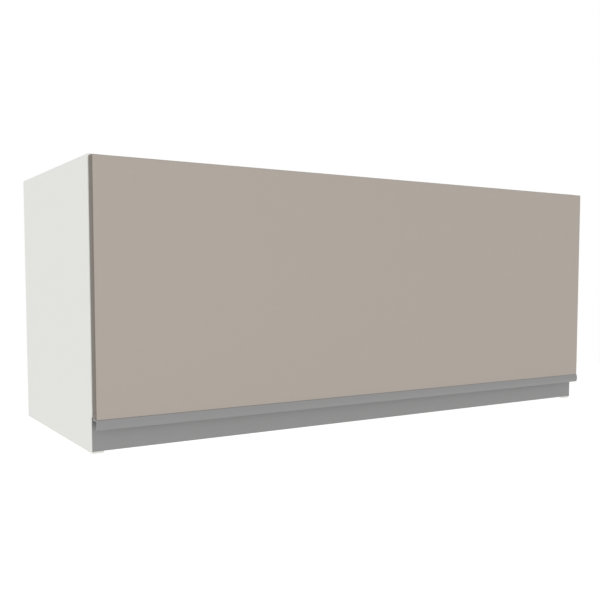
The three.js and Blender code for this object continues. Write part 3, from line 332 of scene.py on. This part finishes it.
def edge_band() -> bpy.types.NodeTree:
    """The band along a board's edges: a mask of the band and one of the joint beside it.

    Returns:
        The group.
    """
    made = GroupMaker(
        "edge band",
        (
            Socket("Centre", Kind.VECTOR),
            Socket("Half Size", Kind.VECTOR),
            Socket("Band", default=0.8 * MM),
            Socket("Joint", default=0.12 * MM),
        ),
        (Socket("Band Mask"), Socket("Joint Mask")),
    )
    offset = made.vector("SUBTRACT", made.places(), made.given("Centre"))
    inward = made.vector("SUBTRACT", made.given("Half Size"), made.vector("ABSOLUTE", offset))
    x, y, z = made.node("SeparateXYZ", inward).outputs
    nearest = made.maths("MINIMUM", made.maths("MINIMUM", x, y), z)
    band = made.maths("LESS_THAN", nearest, made.given("Band"))
    both = made.maths("ADD", made.given("Band"), made.given("Joint"))
    made.give("Band Mask", band)
    made.give(
        "Joint Mask", made.maths("SUBTRACT", made.maths("LESS_THAN", nearest, both), band)
    )
    return made.tree


def brushed_lines() -> bpy.types.NodeTree:
    """Fine parallel lines left by brushing, grinding or drawing, read along one direction.

    Returns:
        The group.
    """
    made = GroupMaker(
        "brushed lines",
        (
            Socket("Color", Kind.COLOUR, (0.5, 0.5, 0.5, 1)),
            Socket("Stretch", Kind.VECTOR, (1.0, 1.0, 1.0)),
            Socket("Tone", default=0.06),
            Socket("Roughness", default=0.35),
            Socket("Roughness Spread", default=0.12),
        ),
        SURFACE_OUTPUTS,
    )
    places = made.vector("MULTIPLY", made.places(), made.given("Stretch"))
    fine = made.noise(places, scale=2600.0, detail=3.0, roughness=0.6)
    broad = made.noise(places, scale=260.0, detail=2.0)
    lines = made.blend(fine, broad, share=0.7)
    made.tint(lines, "Tone")
    made.gloss(lines)
    made.give("Height", lines)
    return made.tree


def moulded_grain() -> bpy.types.NodeTree:
    """The spark-eroded grain of moulded plastic, with a slow change of gloss over it.

    Returns:
        The group.
    """
    made = GroupMaker(
        "moulded grain",
        (
            Socket("Color", Kind.COLOUR, (0.7, 0.7, 0.7, 1)),
            Socket("Tone", default=0.03),
            Socket("Roughness", default=0.5),
            Socket("Roughness Rise", default=0.08),
            Socket("Grain Scale", default=1800.0),
        ),
        SURFACE_OUTPUTS,
    )
    places = made.places()
    cells = made.node("TexVoronoi")
    made.feed(cells.inputs["Vector"], places)
    made.feed(cells.inputs["Scale"], made.given("Grain Scale"))
    slow = made.noise(places, scale=25.0, detail=2.0)
    rise = made.maths("MULTIPLY", slow, made.given("Roughness Rise"))
    made.tint(slow, "Tone")
    made.give("Roughness", made.maths("ADD", made.given("Roughness"), rise))
    made.give("Height", cells.outputs["Distance"])
    return made.tree


@dataclass(frozen=True)
class Effects:
    """The shader node groups, each built once."""

    melamine: bpy.types.NodeTree
    band: bpy.types.NodeTree
    brushed: bpy.types.NodeTree
    grain: bpy.types.NodeTree

    @classmethod
    def build(cls) -> "Effects":
        """Builds all the groups."""
        return cls(melamine_print(), edge_band(), brushed_lines(), moulded_grain())


# ---------------------------------------------------------------- finishes


class Surface:
    """A material under construction: its node tree and its Principled BSDF."""

    def __init__(self, name: str) -> None:
        """Starts a material.

        Args:
            name: Name of the material.
        """
        self.material = bpy.data.materials.new(name)
        self.material.use_nodes = True
        self.tree = self.material.node_tree
        self.shader = self.tree.nodes["Principled BSDF"]

    def effect(self, group: bpy.types.NodeTree, **values: object) -> bpy.types.Node:
        """Places a node group with this material's own values.

        Args:
            group: The group.
            **values: Its inputs, with spaces in their names written as underscores.

        Returns:
            The group's node.
        """
        made = self.tree.nodes.new("ShaderNodeGroup")
        made.node_tree = group
        for key, value in values.items():
            made.inputs[key.replace("_", " ")].default_value = value
        return made

    def overlay(
        self, mask: bpy.types.NodeSocket, below: bpy.types.NodeSocket, above: Colour
    ) -> bpy.types.NodeSocket:
        """Paints a colour over another where a mask is 1.

        Args:
            mask: Where the upper colour shows.
            below: The lower colour.
            above: The upper colour, linear.

        Returns:
            The painted colour.
        """
        made = self.tree.nodes.new("ShaderNodeMix")
        made.data_type = "RGBA"
        self.tree.links.new(mask, made.inputs["Factor"])
        self.tree.links.new(below, made.inputs["A"])
        made.inputs["B"].default_value = (*above, 1)
        return made.outputs["Result"]

    def colour(self, source: bpy.types.NodeSocket) -> None:
        """Takes the base colour from a socket."""
        self.tree.links.new(source, self.shader.inputs["Base Color"])

    def texture(self, effect: bpy.types.Node, depth: float) -> None:
        """Takes roughness and relief from an effect.

        Args:
            effect: The effect's node.
            depth: Depth of its relief.
        """
        bump = self.tree.nodes.new("ShaderNodeBump")
        bump.inputs["Strength"].default_value = 1.0
        bump.inputs["Distance"].default_value = depth
        self.tree.links.new(effect.outputs["Roughness"], self.shader.inputs["Roughness"])
        self.tree.links.new(effect.outputs["Height"], bump.inputs["Height"])
        self.tree.links.new(bump.outputs["Normal"], self.shader.inputs["Normal"])


@dataclass(frozen=True)
class BoardFinish:
    """Faced board, with a band along its edges and a joint between band and face."""

    name: str
    face: Colour
    # colour of the edge band; on the taupe door this dark colour is painted shade on the edges
    band: Colour
    joint: Colour
    band_width: float = 0.8 * MM
    roughness: float = 0.5
    mottle: float = 0.015
    relief: float = 0.01 * MM
    specular: float = 0.35

    def material(
        self, effects: Effects, centre: Vector, half: Vector, name: str
    ) -> bpy.types.Material:
        """Builds the material of one board.

        Args:
            effects: The shader effects.
            centre: Middle of the board.
            half: Half its size, but large across its thickness, so that a face isn't an edge.
            name: The board's own name, which ends the material's.

        Returns:
            The material.
        """
        made = Surface(f"{self.name} {name}")
        face = made.effect(
            effects.melamine,
            Color=(*self.face, 1),
            Mottle=self.mottle,
            Roughness=self.roughness,
        )
        edge = made.effect(effects.band, Centre=centre, Half_Size=half, Band=self.band_width)
        # The band colour goes on here; on the taupe door it is painted shade on the edges and the
        # thin strip of face beside them.
        band_and_edge_shade = made.overlay(edge.outputs["Band Mask"], face.outputs["Color"], self.band)
        made.colour(made.overlay(edge.outputs["Joint Mask"], band_and_edge_shade, self.joint))
        made.texture(face, self.relief)
        made.shader.inputs["Specular IOR Level"].default_value = self.specular
        return made.material


@dataclass(frozen=True)
class MetalFinish:
    """Brushed, drawn or plated metal."""

    name: str
    colour: Colour
    metallic: float
    roughness: float
    run: Axis
    tone: float
    relief: float = 0.004 * MM
    stretch: float = 60.0  # length of a line over its width

    def material(self, effects: Effects) -> bpy.types.Material:
        """Builds the metal's material.

        Args:
            effects: The shader effects.

        Returns:
            The material.
        """
        made = Surface(self.name)
        stretch = [1.0, 1.0, 1.0]
        stretch[self.run.value] = 1 / self.stretch
        lines = made.effect(
            effects.brushed,
            Color=(*self.colour, 1),
            Stretch=stretch,
            Tone=self.tone,
            Roughness=self.roughness,
        )
        made.colour(lines.outputs["Color"])
        made.texture(lines, self.relief)
        made.shader.inputs["Metallic"].default_value = self.metallic
        return made.material


@dataclass(frozen=True)
class PlasticFinish:
    """Moulded plastic."""

    name: str
    colour: Colour
    roughness: float = 0.5
    relief: float = 0.02 * MM

    def material(self, effects: Effects) -> bpy.types.Material:
        """Builds the plastic's material.

        Args:
            effects: The shader effects.

        Returns:
            The material.
        """
        made = Surface(self.name)
        grain = made.effect(effects.grain, Color=(*self.colour, 1), Roughness=self.roughness)
        made.colour(grain.outputs["Color"])
        made.texture(grain, self.relief)
        return made.material


WHITE = BoardFinish(
    "white board",
    face=linear(229, 230, 225),
    band=linear(230, 231, 226),
    joint=linear(204, 205, 200),
    band_width=0.5 * MM,
)
# The taupe board's band and joint colours are far darker than its face: painted shade along the
# door's edges and the thin strip of front beside them, laid over the real edge band and glue line.
TAUPE_SHADED_EDGES = BoardFinish(
    "taupe board",
    face=linear(173, 164, 155),
    band=linear(115, 107, 99),
    joint=linear(110, 102, 95),
    band_width=0.3 * MM,
    roughness=0.55,
)
# Hardboard has bare edges: its band and joint have the colour of its face.
HARDBOARD = BoardFinish(
    "back board",
    face=linear(220, 221, 216),
    band=linear(220, 221, 216),
    joint=linear(220, 221, 216),
    roughness=0.6,
    mottle=0.03,
)
ALUMINIUM = MetalFinish(
    "satin aluminium",
    linear(143, 143, 143),
    metallic=0.55,
    roughness=0.42,
    run=Axis.X,
    tone=0.05,
)
ZINC = MetalFinish(
    "zinc plated steel",
    linear(184, 187, 190),
    metallic=0.85,
    roughness=0.32,
    run=Axis.Y,
    tone=0.05,
)
GROUND_STEEL = MetalFinish(
    "ground steel plate",
    linear(184, 187, 190),
    metallic=0.85,
    roughness=0.34,
    run=Axis.Z,
    tone=0.05,
)
NICKEL = MetalFinish(
    "bright nickel",
    linear(196, 195, 190),
    metallic=0.95,
    roughness=0.24,
    run=Axis.Y,
    tone=0.03,
)
SPRING_WIRE = MetalFinish(
    "oiled spring wire",
    linear(109, 112, 116),
    metallic=0.9,
    roughness=0.36,
    run=Axis.X,
    tone=0.08,
)
GREY_PLASTIC = PlasticFinish("grey moulded plastic", linear(195, 198, 197))
PAD = PlasticFinish("soft pad", linear(218, 218, 214), roughness=0.65, relief=0.01 * MM)


class Paint:
    """Puts finishes on pieces. Boards get a material each, and other finishes share one."""

    def __init__(self, effects: Effects) -> None:
        """Keeps the effects that the finishes use.

        Args:
            effects: The shader effects.
        """
        self.effects = effects
        self.shared: dict[str, bpy.types.Material] = {}

    def coat(self, piece: bpy.types.Object, finish: MetalFinish | PlasticFinish) -> None:
        """Gives a piece a metal or plastic finish.

        Args:
            piece: The piece.
            finish: Its finish.
        """
        if finish.name not in self.shared:
            self.shared[finish.name] = finish.material(self.effects)
        self.set(piece, self.shared[finish.name])

    def board(self, name: str, finish: BoardFinish, thin: Axis) -> None:
        """Gives a board node its face, its edge bands and their joints.

        Args:
            name: The node.
            finish: Its finish.
            thin: The axis across its thickness.
        """
        low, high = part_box(name)
        half = (high - low) / 2
        half[thin.value] = (high - low).length
        made = finish.material(self.effects, (low + high) / 2, half, name)
        self.set(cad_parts[name], made)

    @staticmethod
    def set(piece: bpy.types.Object, material: bpy.types.Material) -> None:
        """Puts one material in a piece's first slot and drops the others."""
        piece.data.materials.clear()
        piece.data.materials.append(material)


# ---------------------------------------------------------------- meshes


@dataclass(frozen=True)
class Screw:
    """A screw's head: a low dome with a cross cut into it."""

    radius: float
    rise: float
    sides: int = 32
    # Rings of the dome from its underside up: shares of the radius and of the rise.
    dome: tuple[tuple[float, float], ...] = ((1.0, 0.0), (1.0, 0.35), (0.93, 0.8), (0.78, 1.0))
    cross_reach: float = 0.55  # of an arm, as a share of the radius
    cross_half_width: float = 0.13  # of an arm, as a share of the radius
    cross_taper: float = 0.7  # size of the cross at its floor over its size at its mouth
    cross_floor: float = 0.3  # level of the cross's floor, as a share of the rise
    turn: float = 0.4  # of the cross, in radians

    def cross(self) -> list[tuple[float, float]]:
        """The outline of the cross's mouth.

        Returns:
            Its corners, anticlockwise, seen from above.
        """
        reach = self.radius * self.cross_reach
        half = self.radius * self.cross_half_width
        corners = []
        for quarter in range(4):
            cos = math.cos(quarter * math.pi / 2)
            sin = math.sin(quarter * math.pi / 2)
            for x, y in ((reach, -half), (reach, half), (half, half)):
                corners.append((x * cos - y * sin, x * sin + y * cos))
        return corners

    @staticmethod
    def wall(
        made: bmesh.types.BMesh, near: list[bmesh.types.BMVert], far: list[bmesh.types.BMVert]
    ) -> None:
        """Joins two closed rings of vertices by a wall of quads.

        Args:
            made: The mesh under construction.
            near: The ring that the wall starts at.
            far: The ring that it reaches, with as many vertices.
        """
        for i in range(len(near)):
            j = (i + 1) % len(near)
            made.faces.new((near[i], near[j], far[j], far[i]))

    def mesh(self, name: str) -> bpy.types.Mesh:
        """Builds the head with its underside at z = 0.

        Args:
            name: Name of the mesh.

        Returns:
            The mesh.
        """
        made = bmesh.new()
        rings = []
        for width, height in self.dome:
            radius = self.radius * width
            ring = []
            for step in range(self.sides):
                angle = 2 * math.pi * step / self.sides
                place = (radius * math.cos(angle), radius * math.sin(angle), self.rise * height)
                ring.append(made.verts.new(place))
            rings.append(ring)
        for low, high in zip(rings, rings[1:]):
            self.wall(made, low, high)
        made.faces.new(list(reversed(rings[0])))

        taper, level = self.cross_taper, self.rise * self.cross_floor
        mouth = [made.verts.new((x, y, self.rise)) for x, y in self.cross()]
        floor = [made.verts.new((x * taper, y * taper, level)) for x, y in self.cross()]
        borders = []
        for ring in (rings[-1], mouth):
            for pair in zip(ring, ring[1:] + ring[:1]):
                borders.append(made.edges.get(pair) or made.edges.new(pair))
        bmesh.ops.triangle_fill(made, edges=borders, use_beauty=True, normal=(0, 0, 1))
        self.wall(made, mouth, floor)
        made.faces.new(floor)

        bmesh.ops.recalc_face_normals(made, faces=made.faces)
        data = bpy.data.meshes.new(name)
        made.to_mesh(data)
        made.free()
        return data


def smooth_rounds() -> bpy.types.NodeTree:
    """A modifier that welds a faceted node and shades the facets of its rounds smoothly.

    Returns:
        The modifier's node group.
    """
    tree = bpy.data.node_groups.new("smooth rounds", "GeometryNodeTree")
    for direction in ("INPUT", "OUTPUT"):
        tree.interface.new_socket(
            name="Geometry", in_out=direction, socket_type="NodeSocketGeometry"
        )
    start = tree.nodes.new("NodeGroupInput")
    end = tree.nodes.new("NodeGroupOutput")
    bare = tree.nodes.new("GeometryNodeRemoveAttribute")
    bare.inputs["Name"].default_value = "custom_normal"
    weld = tree.nodes.new("GeometryNodeMergeByDistance")
    weld.inputs["Distance"].default_value = WELD
    faces = tree.nodes.new("GeometryNodeSetShadeSmooth")
    faces.domain = "FACE"
    edges = tree.nodes.new("GeometryNodeSetShadeSmooth")
    edges.domain = "EDGE"
    edges.inputs["Shade Smooth"].default_value = False
    bend = tree.nodes.new("GeometryNodeInputMeshEdgeAngle")
    sharp = tree.nodes.new("FunctionNodeCompare")
    sharp.data_type = "FLOAT"
    sharp.operation = "GREATER_THAN"
    sharp.inputs["B"].default_value = SHARP_BEND
    chain = (start, bare, weld, faces, edges, end)
    for first, second in zip(chain, chain[1:]):
        tree.links.new(first.outputs[0], second.inputs[0])
    tree.links.new(bend.outputs["Unsigned Angle"], sharp.inputs["A"])
    tree.links.new(sharp.outputs["Result"], edges.inputs["Selection"])
    return tree


# ---------------------------------------------------------------- the cabinet's sub-assemblies


@dataclass
class SubAssembly:
    """A part of the cabinet that is dressed and fitted by itself."""

    paint: Paint

    def dress(self) -> None:
        """Gives the sub-assembly's nodes their finishes."""
        raise NotImplementedError

    def build(self) -> list[str]:
        """Adds the sub-assembly's screws, if it has any, and returns their names."""
        return []

    def coat(self, finish: MetalFinish | PlasticFinish, *names: str) -> None:
        """Gives nodes a metal or plastic finish.

        Args:
            finish: The finish.
            *names: The nodes.
        """
        for name in names:
            self.paint.coat(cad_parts[name], finish)

    def screw(self, name: str, form: Screw, seat: Vector, out: Facing, body: Body) -> str:
        """Adds a screw's head.

        Args:
            name: Name of the piece.
            form: Its form.
            seat: Middle of its underside.
            out: The way that it looks.
            body: The body it rides on.

        Returns:
            The name of the piece.
        """
        data = form.mesh(name)
        spin = Matrix.Rotation(form.turn, 4, "Z")
        facing = Vector(out.value).to_track_quat("Z", "Y").to_matrix().to_4x4()
        data.transform(Matrix.Translation(seat) @ facing @ spin)
        piece = bpy.data.objects.new(name, data)
        bpy.context.scene.collection.objects.link(piece)
        self.paint.coat(piece, NICKEL)
        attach(piece, body.value)
        return name

    def screws(
        self, name: str, form: Screw, seats: list[Vector], out: Facing, body: Body
    ) -> list[str]:
        """Adds numbered screws of one form.

        Args:
            name: Name of the pieces, before their number.
            form: Their form.
            seats: Middle of each one's underside.
            out: The way that they look.
            body: The body they ride on.

        Returns:
            The names of the pieces.
        """
        return [
            self.screw(f"{name}_{number}", form, seat, out, body)
            for number, seat in enumerate(seats, start=1)
        ]


@dataclass
class Carcass(SubAssembly):
    """The white boards, the back, the fascia and what joins the boards."""

    rail_screw: Screw = Screw(radius=3.6 * MM, rise=1.2 * MM)
    rail_screw_inset: float = 120 * MM  # of the outer screws from a rail's ends

    def dress(self) -> None:
        """Gives every node of the carcass its finish."""
        for side in Side:
            self.paint.board(f"side_panel_{side.suffix}", WHITE, Axis.X)
            for corner in ("top_front", "top_rear", "bottom_front", "bottom_rear"):
                self.coat(NICKEL, f"cam_{corner}_{side.suffix}")
                self.coat(ZINC, f"bolt_{corner}_{side.suffix}")
            self.coat(PAD, f"bumper_{side.suffix}")
        for name in ("top_panel", "bottom_panel"):
            self.paint.board(name, WHITE, Axis.Z)
        for name in ("hanging_rail", "lower_rear_rail", "front_rail"):
            self.paint.board(name, WHITE, Axis.Y)
        self.paint.board("back_panel", HARDBOARD, Axis.Y)
        self.coat(ALUMINIUM, "fascia")

    def build(self) -> list[str]:
        """Adds the screws that hold the back panel to the two rear rails, seen from inside.

        Returns:
            The names of the screws.
        """
        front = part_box("back_panel")[0].y
        made = []
        for rail in ("hanging_rail", "lower_rear_rail"):
            low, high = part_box(rail)
            reach = high.x - low.x - 2 * self.rail_screw_inset
            level = (low.z + high.z) / 2
            seats = [Vector((share * reach, front, level)) for share in (-0.5, 0.0, 0.5)]
            made += self.screws(
                f"{rail}_screw", self.rail_screw, seats, Facing.FRONT, Body.CARCASS
            )
        return made


@dataclass
class Door(SubAssembly):
    """The flap with its handle profile."""

    def dress(self) -> None:
        """Gives the door board and the handle profile their finishes."""
        # The door's finish paints shade on its edges through a dark band colour.
        self.paint.board("door_panel", TAUPE_SHADED_EDGES, Axis.Y)
        self.coat(ALUMINIUM, "handle_profile")


@dataclass
class Fitting(SubAssembly):
    """A fitting that the cabinet has once on each side."""

    side: Side

    def own(self, part: str) -> str:
        """The name of one of this side's parts."""
        return f"{part}_{self.side.suffix}"


@dataclass
class Hinge(Fitting):
    """One concealed hinge."""

    plate_screw: Screw = Screw(radius=4.0 * MM, rise=1.4 * MM)
    cup_screw: Screw = Screw(radius=3.6 * MM, rise=1.2 * MM)
    arm_screw: Screw = Screw(radius=3.4 * MM, rise=1.6 * MM)
    plate_thickness: float = 2 * MM
    plate_screw_spacing: float = 32 * MM
    cup_screw_margin: float = 7 * MM  # from the ends of the cup's flange
    cup_screw_drop: float = 6 * MM  # below the cup's middle
    arm_screw_setback: float = 50 * MM  # behind the carcass's front
    arm_step: float = 1.3 * MM  # from the arm's lowest edge up to its web

    def dress(self) -> None:
        """Gives the hinge's nodes their finishes."""
        self.coat(ZINC, self.own("hinge_cup"), self.own("hinge_arm"), self.own("hinge_plate"))
        self.coat(NICKEL, self.own("hinge_pin"))

    def build(self) -> list[str]:
        """Adds the screws of the plate, of the cup's flange and of the arm's slot.

        Returns:
            The names of the screws.
        """
        low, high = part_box(self.own("hinge_plate"))
        middle = (low + high) / 2
        spacing, face = self.plate_screw_spacing, high.z - self.plate_thickness
        plate_seats = [
            Vector((middle.x + way * spacing / 2, middle.y, face)) for way in (-1, 1)
        ]
        low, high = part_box(self.own("hinge_cup"))
        reach = (high.x - low.x) / 2 - self.cup_screw_margin
        level = (low.z + high.z) / 2 - self.cup_screw_drop
        cup_seats = [Vector((middle.x + way * reach, high.y, level)) for way in (-1, 1)]
        carcass_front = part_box("side_panel_right")[0].y
        arm_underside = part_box(self.own("hinge_arm"))[0].z
        arm_seat = Vector(
            (middle.x, carcass_front + self.arm_screw_setback, arm_underside + self.arm_step)
        )
        return [
            *self.screws(
                self.own("hinge_plate_screw"),
                self.plate_screw,
                plate_seats,
                Facing.DOWN,
                Body.CARCASS,
            ),
            *self.screws(
                self.own("hinge_cup_screw"), self.cup_screw, cup_seats, Facing.BACK, Body.DOOR
            ),
            self.screw(
                self.own("hinge_arm_screw"), self.arm_screw, arm_seat, Facing.DOWN, Body.CARCASS
            ),
        ]


@dataclass
class LiftArm(Fitting):
    """One spring lift arm with its bracket on the door."""

    bracket_screw: Screw = Screw(radius=4.0 * MM, rise=1.4 * MM)
    cover_screw: Screw = Screw(radius=3.0 * MM, rise=1.0 * MM)
    bracket_flange: float = 2.5 * MM  # thickness of the part that lies on the door
    bracket_cheek: float = 3 * MM  # thickness of the part that stands on it
    bracket_screw_spacing: float = 34 * MM
    cover_screw_margin: float = 12 * MM  # from the end of the cover's tail

    def dress(self) -> None:
        """Gives the lift arm's nodes their finishes."""
        for part in ("lift_lever", "lift_link", "door_bracket", "lift_plate"):
            self.coat(GROUND_STEEL, self.own(part))
        for part in ("elbow_rivet", "bracket_rivet", "lift_shaft"):
            self.coat(NICKEL, self.own(part))
        self.coat(SPRING_WIRE, self.own("lift_spring"))
        self.coat(GREY_PLASTIC, self.own("lift_cover"))

    def build(self) -> list[str]:
        """Adds the bracket's screws and the one that holds the cover's tail.

        Returns:
            The names of the screws.
        """
        low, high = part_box(self.own("door_bracket"))
        flange_middle = (low.x + high.x) / 2 + self.side.value * self.bracket_cheek / 2
        level = (low.z + high.z) / 2
        bracket_seats = [
            Vector(
                (
                    flange_middle,
                    low.y + self.bracket_flange,
                    level + way * self.bracket_screw_spacing / 2,
                )
            )
            for way in (-1, 1)
        ]
        low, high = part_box(self.own("lift_cover"))
        if self.side is Side.RIGHT:
            face, inward = low.x, Facing.LEFT
        else:
            face, inward = high.x, Facing.RIGHT
        cover_seat = Vector((face, high.y - self.cover_screw_margin, (low.z + high.z) / 2))
        return [
            *self.screws(
                self.own("bracket_screw"),
                self.bracket_screw,
                bracket_seats,
                Facing.BACK,
                Body.DOOR,
            ),
            self.screw(
                self.own("cover_screw"), self.cover_screw, cover_seat, inward, Body.CARCASS
            ),
        ]


@dataclass
class Hanger(Fitting):
    """One wall hanger with its two adjusting screws."""

    adjuster: Screw = Screw(radius=2.9 * MM, rise=1.6 * MM)
    adjuster_levels: tuple[float, float] = (19 * MM, 45 * MM)  # above the housing's foot
    hole_depth: float = 8 * MM

    def dress(self) -> None:
        """Gives the housing and the hook their finishes."""
        self.coat(GREY_PLASTIC, self.own("hanger_body"))
        self.coat(ZINC, self.own("hanger_hook"))

    def build(self) -> list[str]:
        """Adds the adjusting screws at the bottom of their holes.

        Returns:
            The names of the screws.
        """
        low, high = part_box(self.own("hanger_body"))
        seats = [
            Vector(((low.x + high.x) / 2, low.y + self.hole_depth, low.z + level))
            for level in self.adjuster_levels
        ]
        return self.screws(
            self.own("hanger_screw"), self.adjuster, seats, Facing.FRONT, Body.CARCASS
        )


# ---------------------------------------------------------------- camera, lamps and floor


@dataclass(frozen=True)
class View:
    """The camera, at the photograph's place and angle."""

    place: Vector = Vector((-0.7525, -1.1262, 0.2199))
    heading: float = math.radians(32.206)  # from straight at the wall, towards the right
    dip: float = math.radians(3.735)  # below the level
    lens: float = 47.44
    sensor: float = 36.0
    rise: float = 0.0511
    near: float = 0.05
    far: float = 60.0

    def build(self) -> None:
        """Creates the camera and makes it the scene's."""
        data = bpy.data.cameras.new("camera")
        data.sensor_width = self.sensor
        data.lens = self.lens
        data.shift_y = self.rise
        data.clip_start = self.near
        data.clip_end = self.far
        camera = bpy.data.objects.new("camera", data)
        bpy.context.scene.collection.objects.link(camera)
        camera.location = self.place
        camera.rotation_euler = (math.pi / 2 - self.dip, 0.0, -self.heading)
        bpy.context.scene.camera = camera


@dataclass(frozen=True)
class Lamp:
    """One soft square lamp that looks at the middle of the cabinet."""

    name: str
    place: Vector
    width: float
    watts: float

    def build(self, target: Vector) -> None:
        """Adds the lamp.

        Args:
            target: What it looks at.
        """
        data = bpy.data.lights.new(self.name, "AREA")
        data.shape = "SQUARE"
        data.size = self.width
        data.energy = self.watts
        lamp = bpy.data.objects.new(self.name, data)
        bpy.context.scene.collection.objects.link(lamp)
        lamp.location = self.place
        lamp.rotation_euler = (target - self.place).to_track_quat("-Z", "Y").to_euler()


@dataclass(frozen=True)
class Studio:
    """The white surroundings, the lamps and the floor, far below the hanging cabinet."""

    ambient: float = 0.83
    floor_drop: float = 1.4
    floor_width: float = 24.0
    floor_colour: Colour = linear(247, 247, 246)
    floor_roughness: float = 0.9
    floor_glow: float = 0.24
    lamps: tuple[Lamp, ...] = (
        Lamp("front lamp", Vector((-3.0, -5.6, 1.8)), width=4.0, watts=68.0),
        Lamp("left lamp", Vector((-6.0, 1.4, 2.2)), width=4.0, watts=16.0),
        Lamp("right lamp", Vector((5.2, 2.8, 2.6)), width=4.0, watts=40.0),
    )

    def build(self) -> None:
        """Sets up the world, the floor, the lamps and the view settings."""
        self.world()
        self.floor()
        for lamp in self.lamps:
            lamp.build((CAD_BOX[0] + CAD_BOX[1]) / 2)
        bpy.context.scene.view_settings.view_transform = "Standard"

    @staticmethod
    def seen(tree: bpy.types.NodeTree) -> bpy.types.NodeSocket:
        """Where the surroundings are looked at, directly or in a gloss or a glass.

        Args:
            tree: The node tree to build in.

        Returns:
            A mask, 1 for camera, glossy and transmission rays.
        """
        path = tree.nodes.new("ShaderNodeLightPath")
        mask = path.outputs["Is Camera Ray"]
        for ray in ("Is Glossy Ray", "Is Transmission Ray"):
            either = tree.nodes.new("ShaderNodeMath")
            either.operation = "MAXIMUM"
            tree.links.new(mask, either.inputs[0])
            tree.links.new(path.outputs[ray], either.inputs[1])
            mask = either.outputs["Value"]
        return mask

    def world(self) -> None:
        """Makes the world white where it is seen and a plain grey light elsewhere."""
        world = bpy.data.worlds.new("studio")
        bpy.context.scene.world = world
        world.use_nodes = True
        tree = world.node_tree
        light = tree.nodes["Background"]
        white = tree.nodes.new("ShaderNodeBackground")
        for background, strength in ((light, self.ambient), (white, 1.0)):
            background.inputs["Color"].default_value = (1, 1, 1, 1)
            background.inputs["Strength"].default_value = strength
        mix = tree.nodes.new("ShaderNodeMixShader")
        tree.links.new(self.seen(tree), mix.inputs["Fac"])
        tree.links.new(light.outputs["Background"], mix.inputs[1])
        tree.links.new(white.outputs["Background"], mix.inputs[2])
        tree.links.new(mix.outputs["Shader"], tree.nodes["World Output"].inputs["Surface"])

    def floor(self) -> None:
        """Lays the pale floor, which glows a little where it is seen."""
        half = self.floor_width / 2
        level = CAD_BOX[0].z - self.floor_drop
        ways = ((-1, -1), (1, -1), (1, 1), (-1, 1))
        data = bpy.data.meshes.new("floor")
        data.from_pydata([(x * half, y * half, level) for x, y in ways], [], [(0, 1, 2, 3)])
        floor = bpy.data.objects.new("floor", data)
        bpy.context.scene.collection.objects.link(floor)
        made = Surface("pale floor")
        made.shader.inputs["Base Color"].default_value = (*self.floor_colour, 1)
        made.shader.inputs["Roughness"].default_value = self.floor_roughness
        made.shader.inputs["Emission Color"].default_value = (1, 1, 1, 1)
        glow = made.tree.nodes.new("ShaderNodeMath")
        glow.operation = "MULTIPLY"
        glow.inputs[1].default_value = self.floor_glow
        made.tree.links.new(self.seen(made.tree), glow.inputs[0])
        made.tree.links.new(glow.outputs["Value"], made.shader.inputs["Emission Strength"])
        Paint.set(floor, made.material)


# ---------------------------------------------------------------- assembly


def main() -> None:
    """Builds the camera, the studio and every sub-assembly in order, and logs the pieces it adds
    and dresses.
    """
    logging.basicConfig(level=logging.INFO, format="%(message)s")
    View().build()
    Studio().build()
    paint = Paint(Effects.build())
    parts: list[SubAssembly] = [Carcass(paint), Door(paint)]
    for side in Side:
        parts += [Hinge(paint, side), LiftArm(paint, side), Hanger(paint, side)]
    for part in parts:
        part.dress()
        for piece in part.build():
            LOG.info("%s: %s", type(part).__name__, piece)
    rounds = smooth_rounds()
    for name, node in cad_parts.items():
        if node.type == "MESH":
            node.modifiers.new("smooth rounds", "NODES").node_group = rounds
            LOG.info("dressed %s", name)


if __name__ == "__main__":
    main()
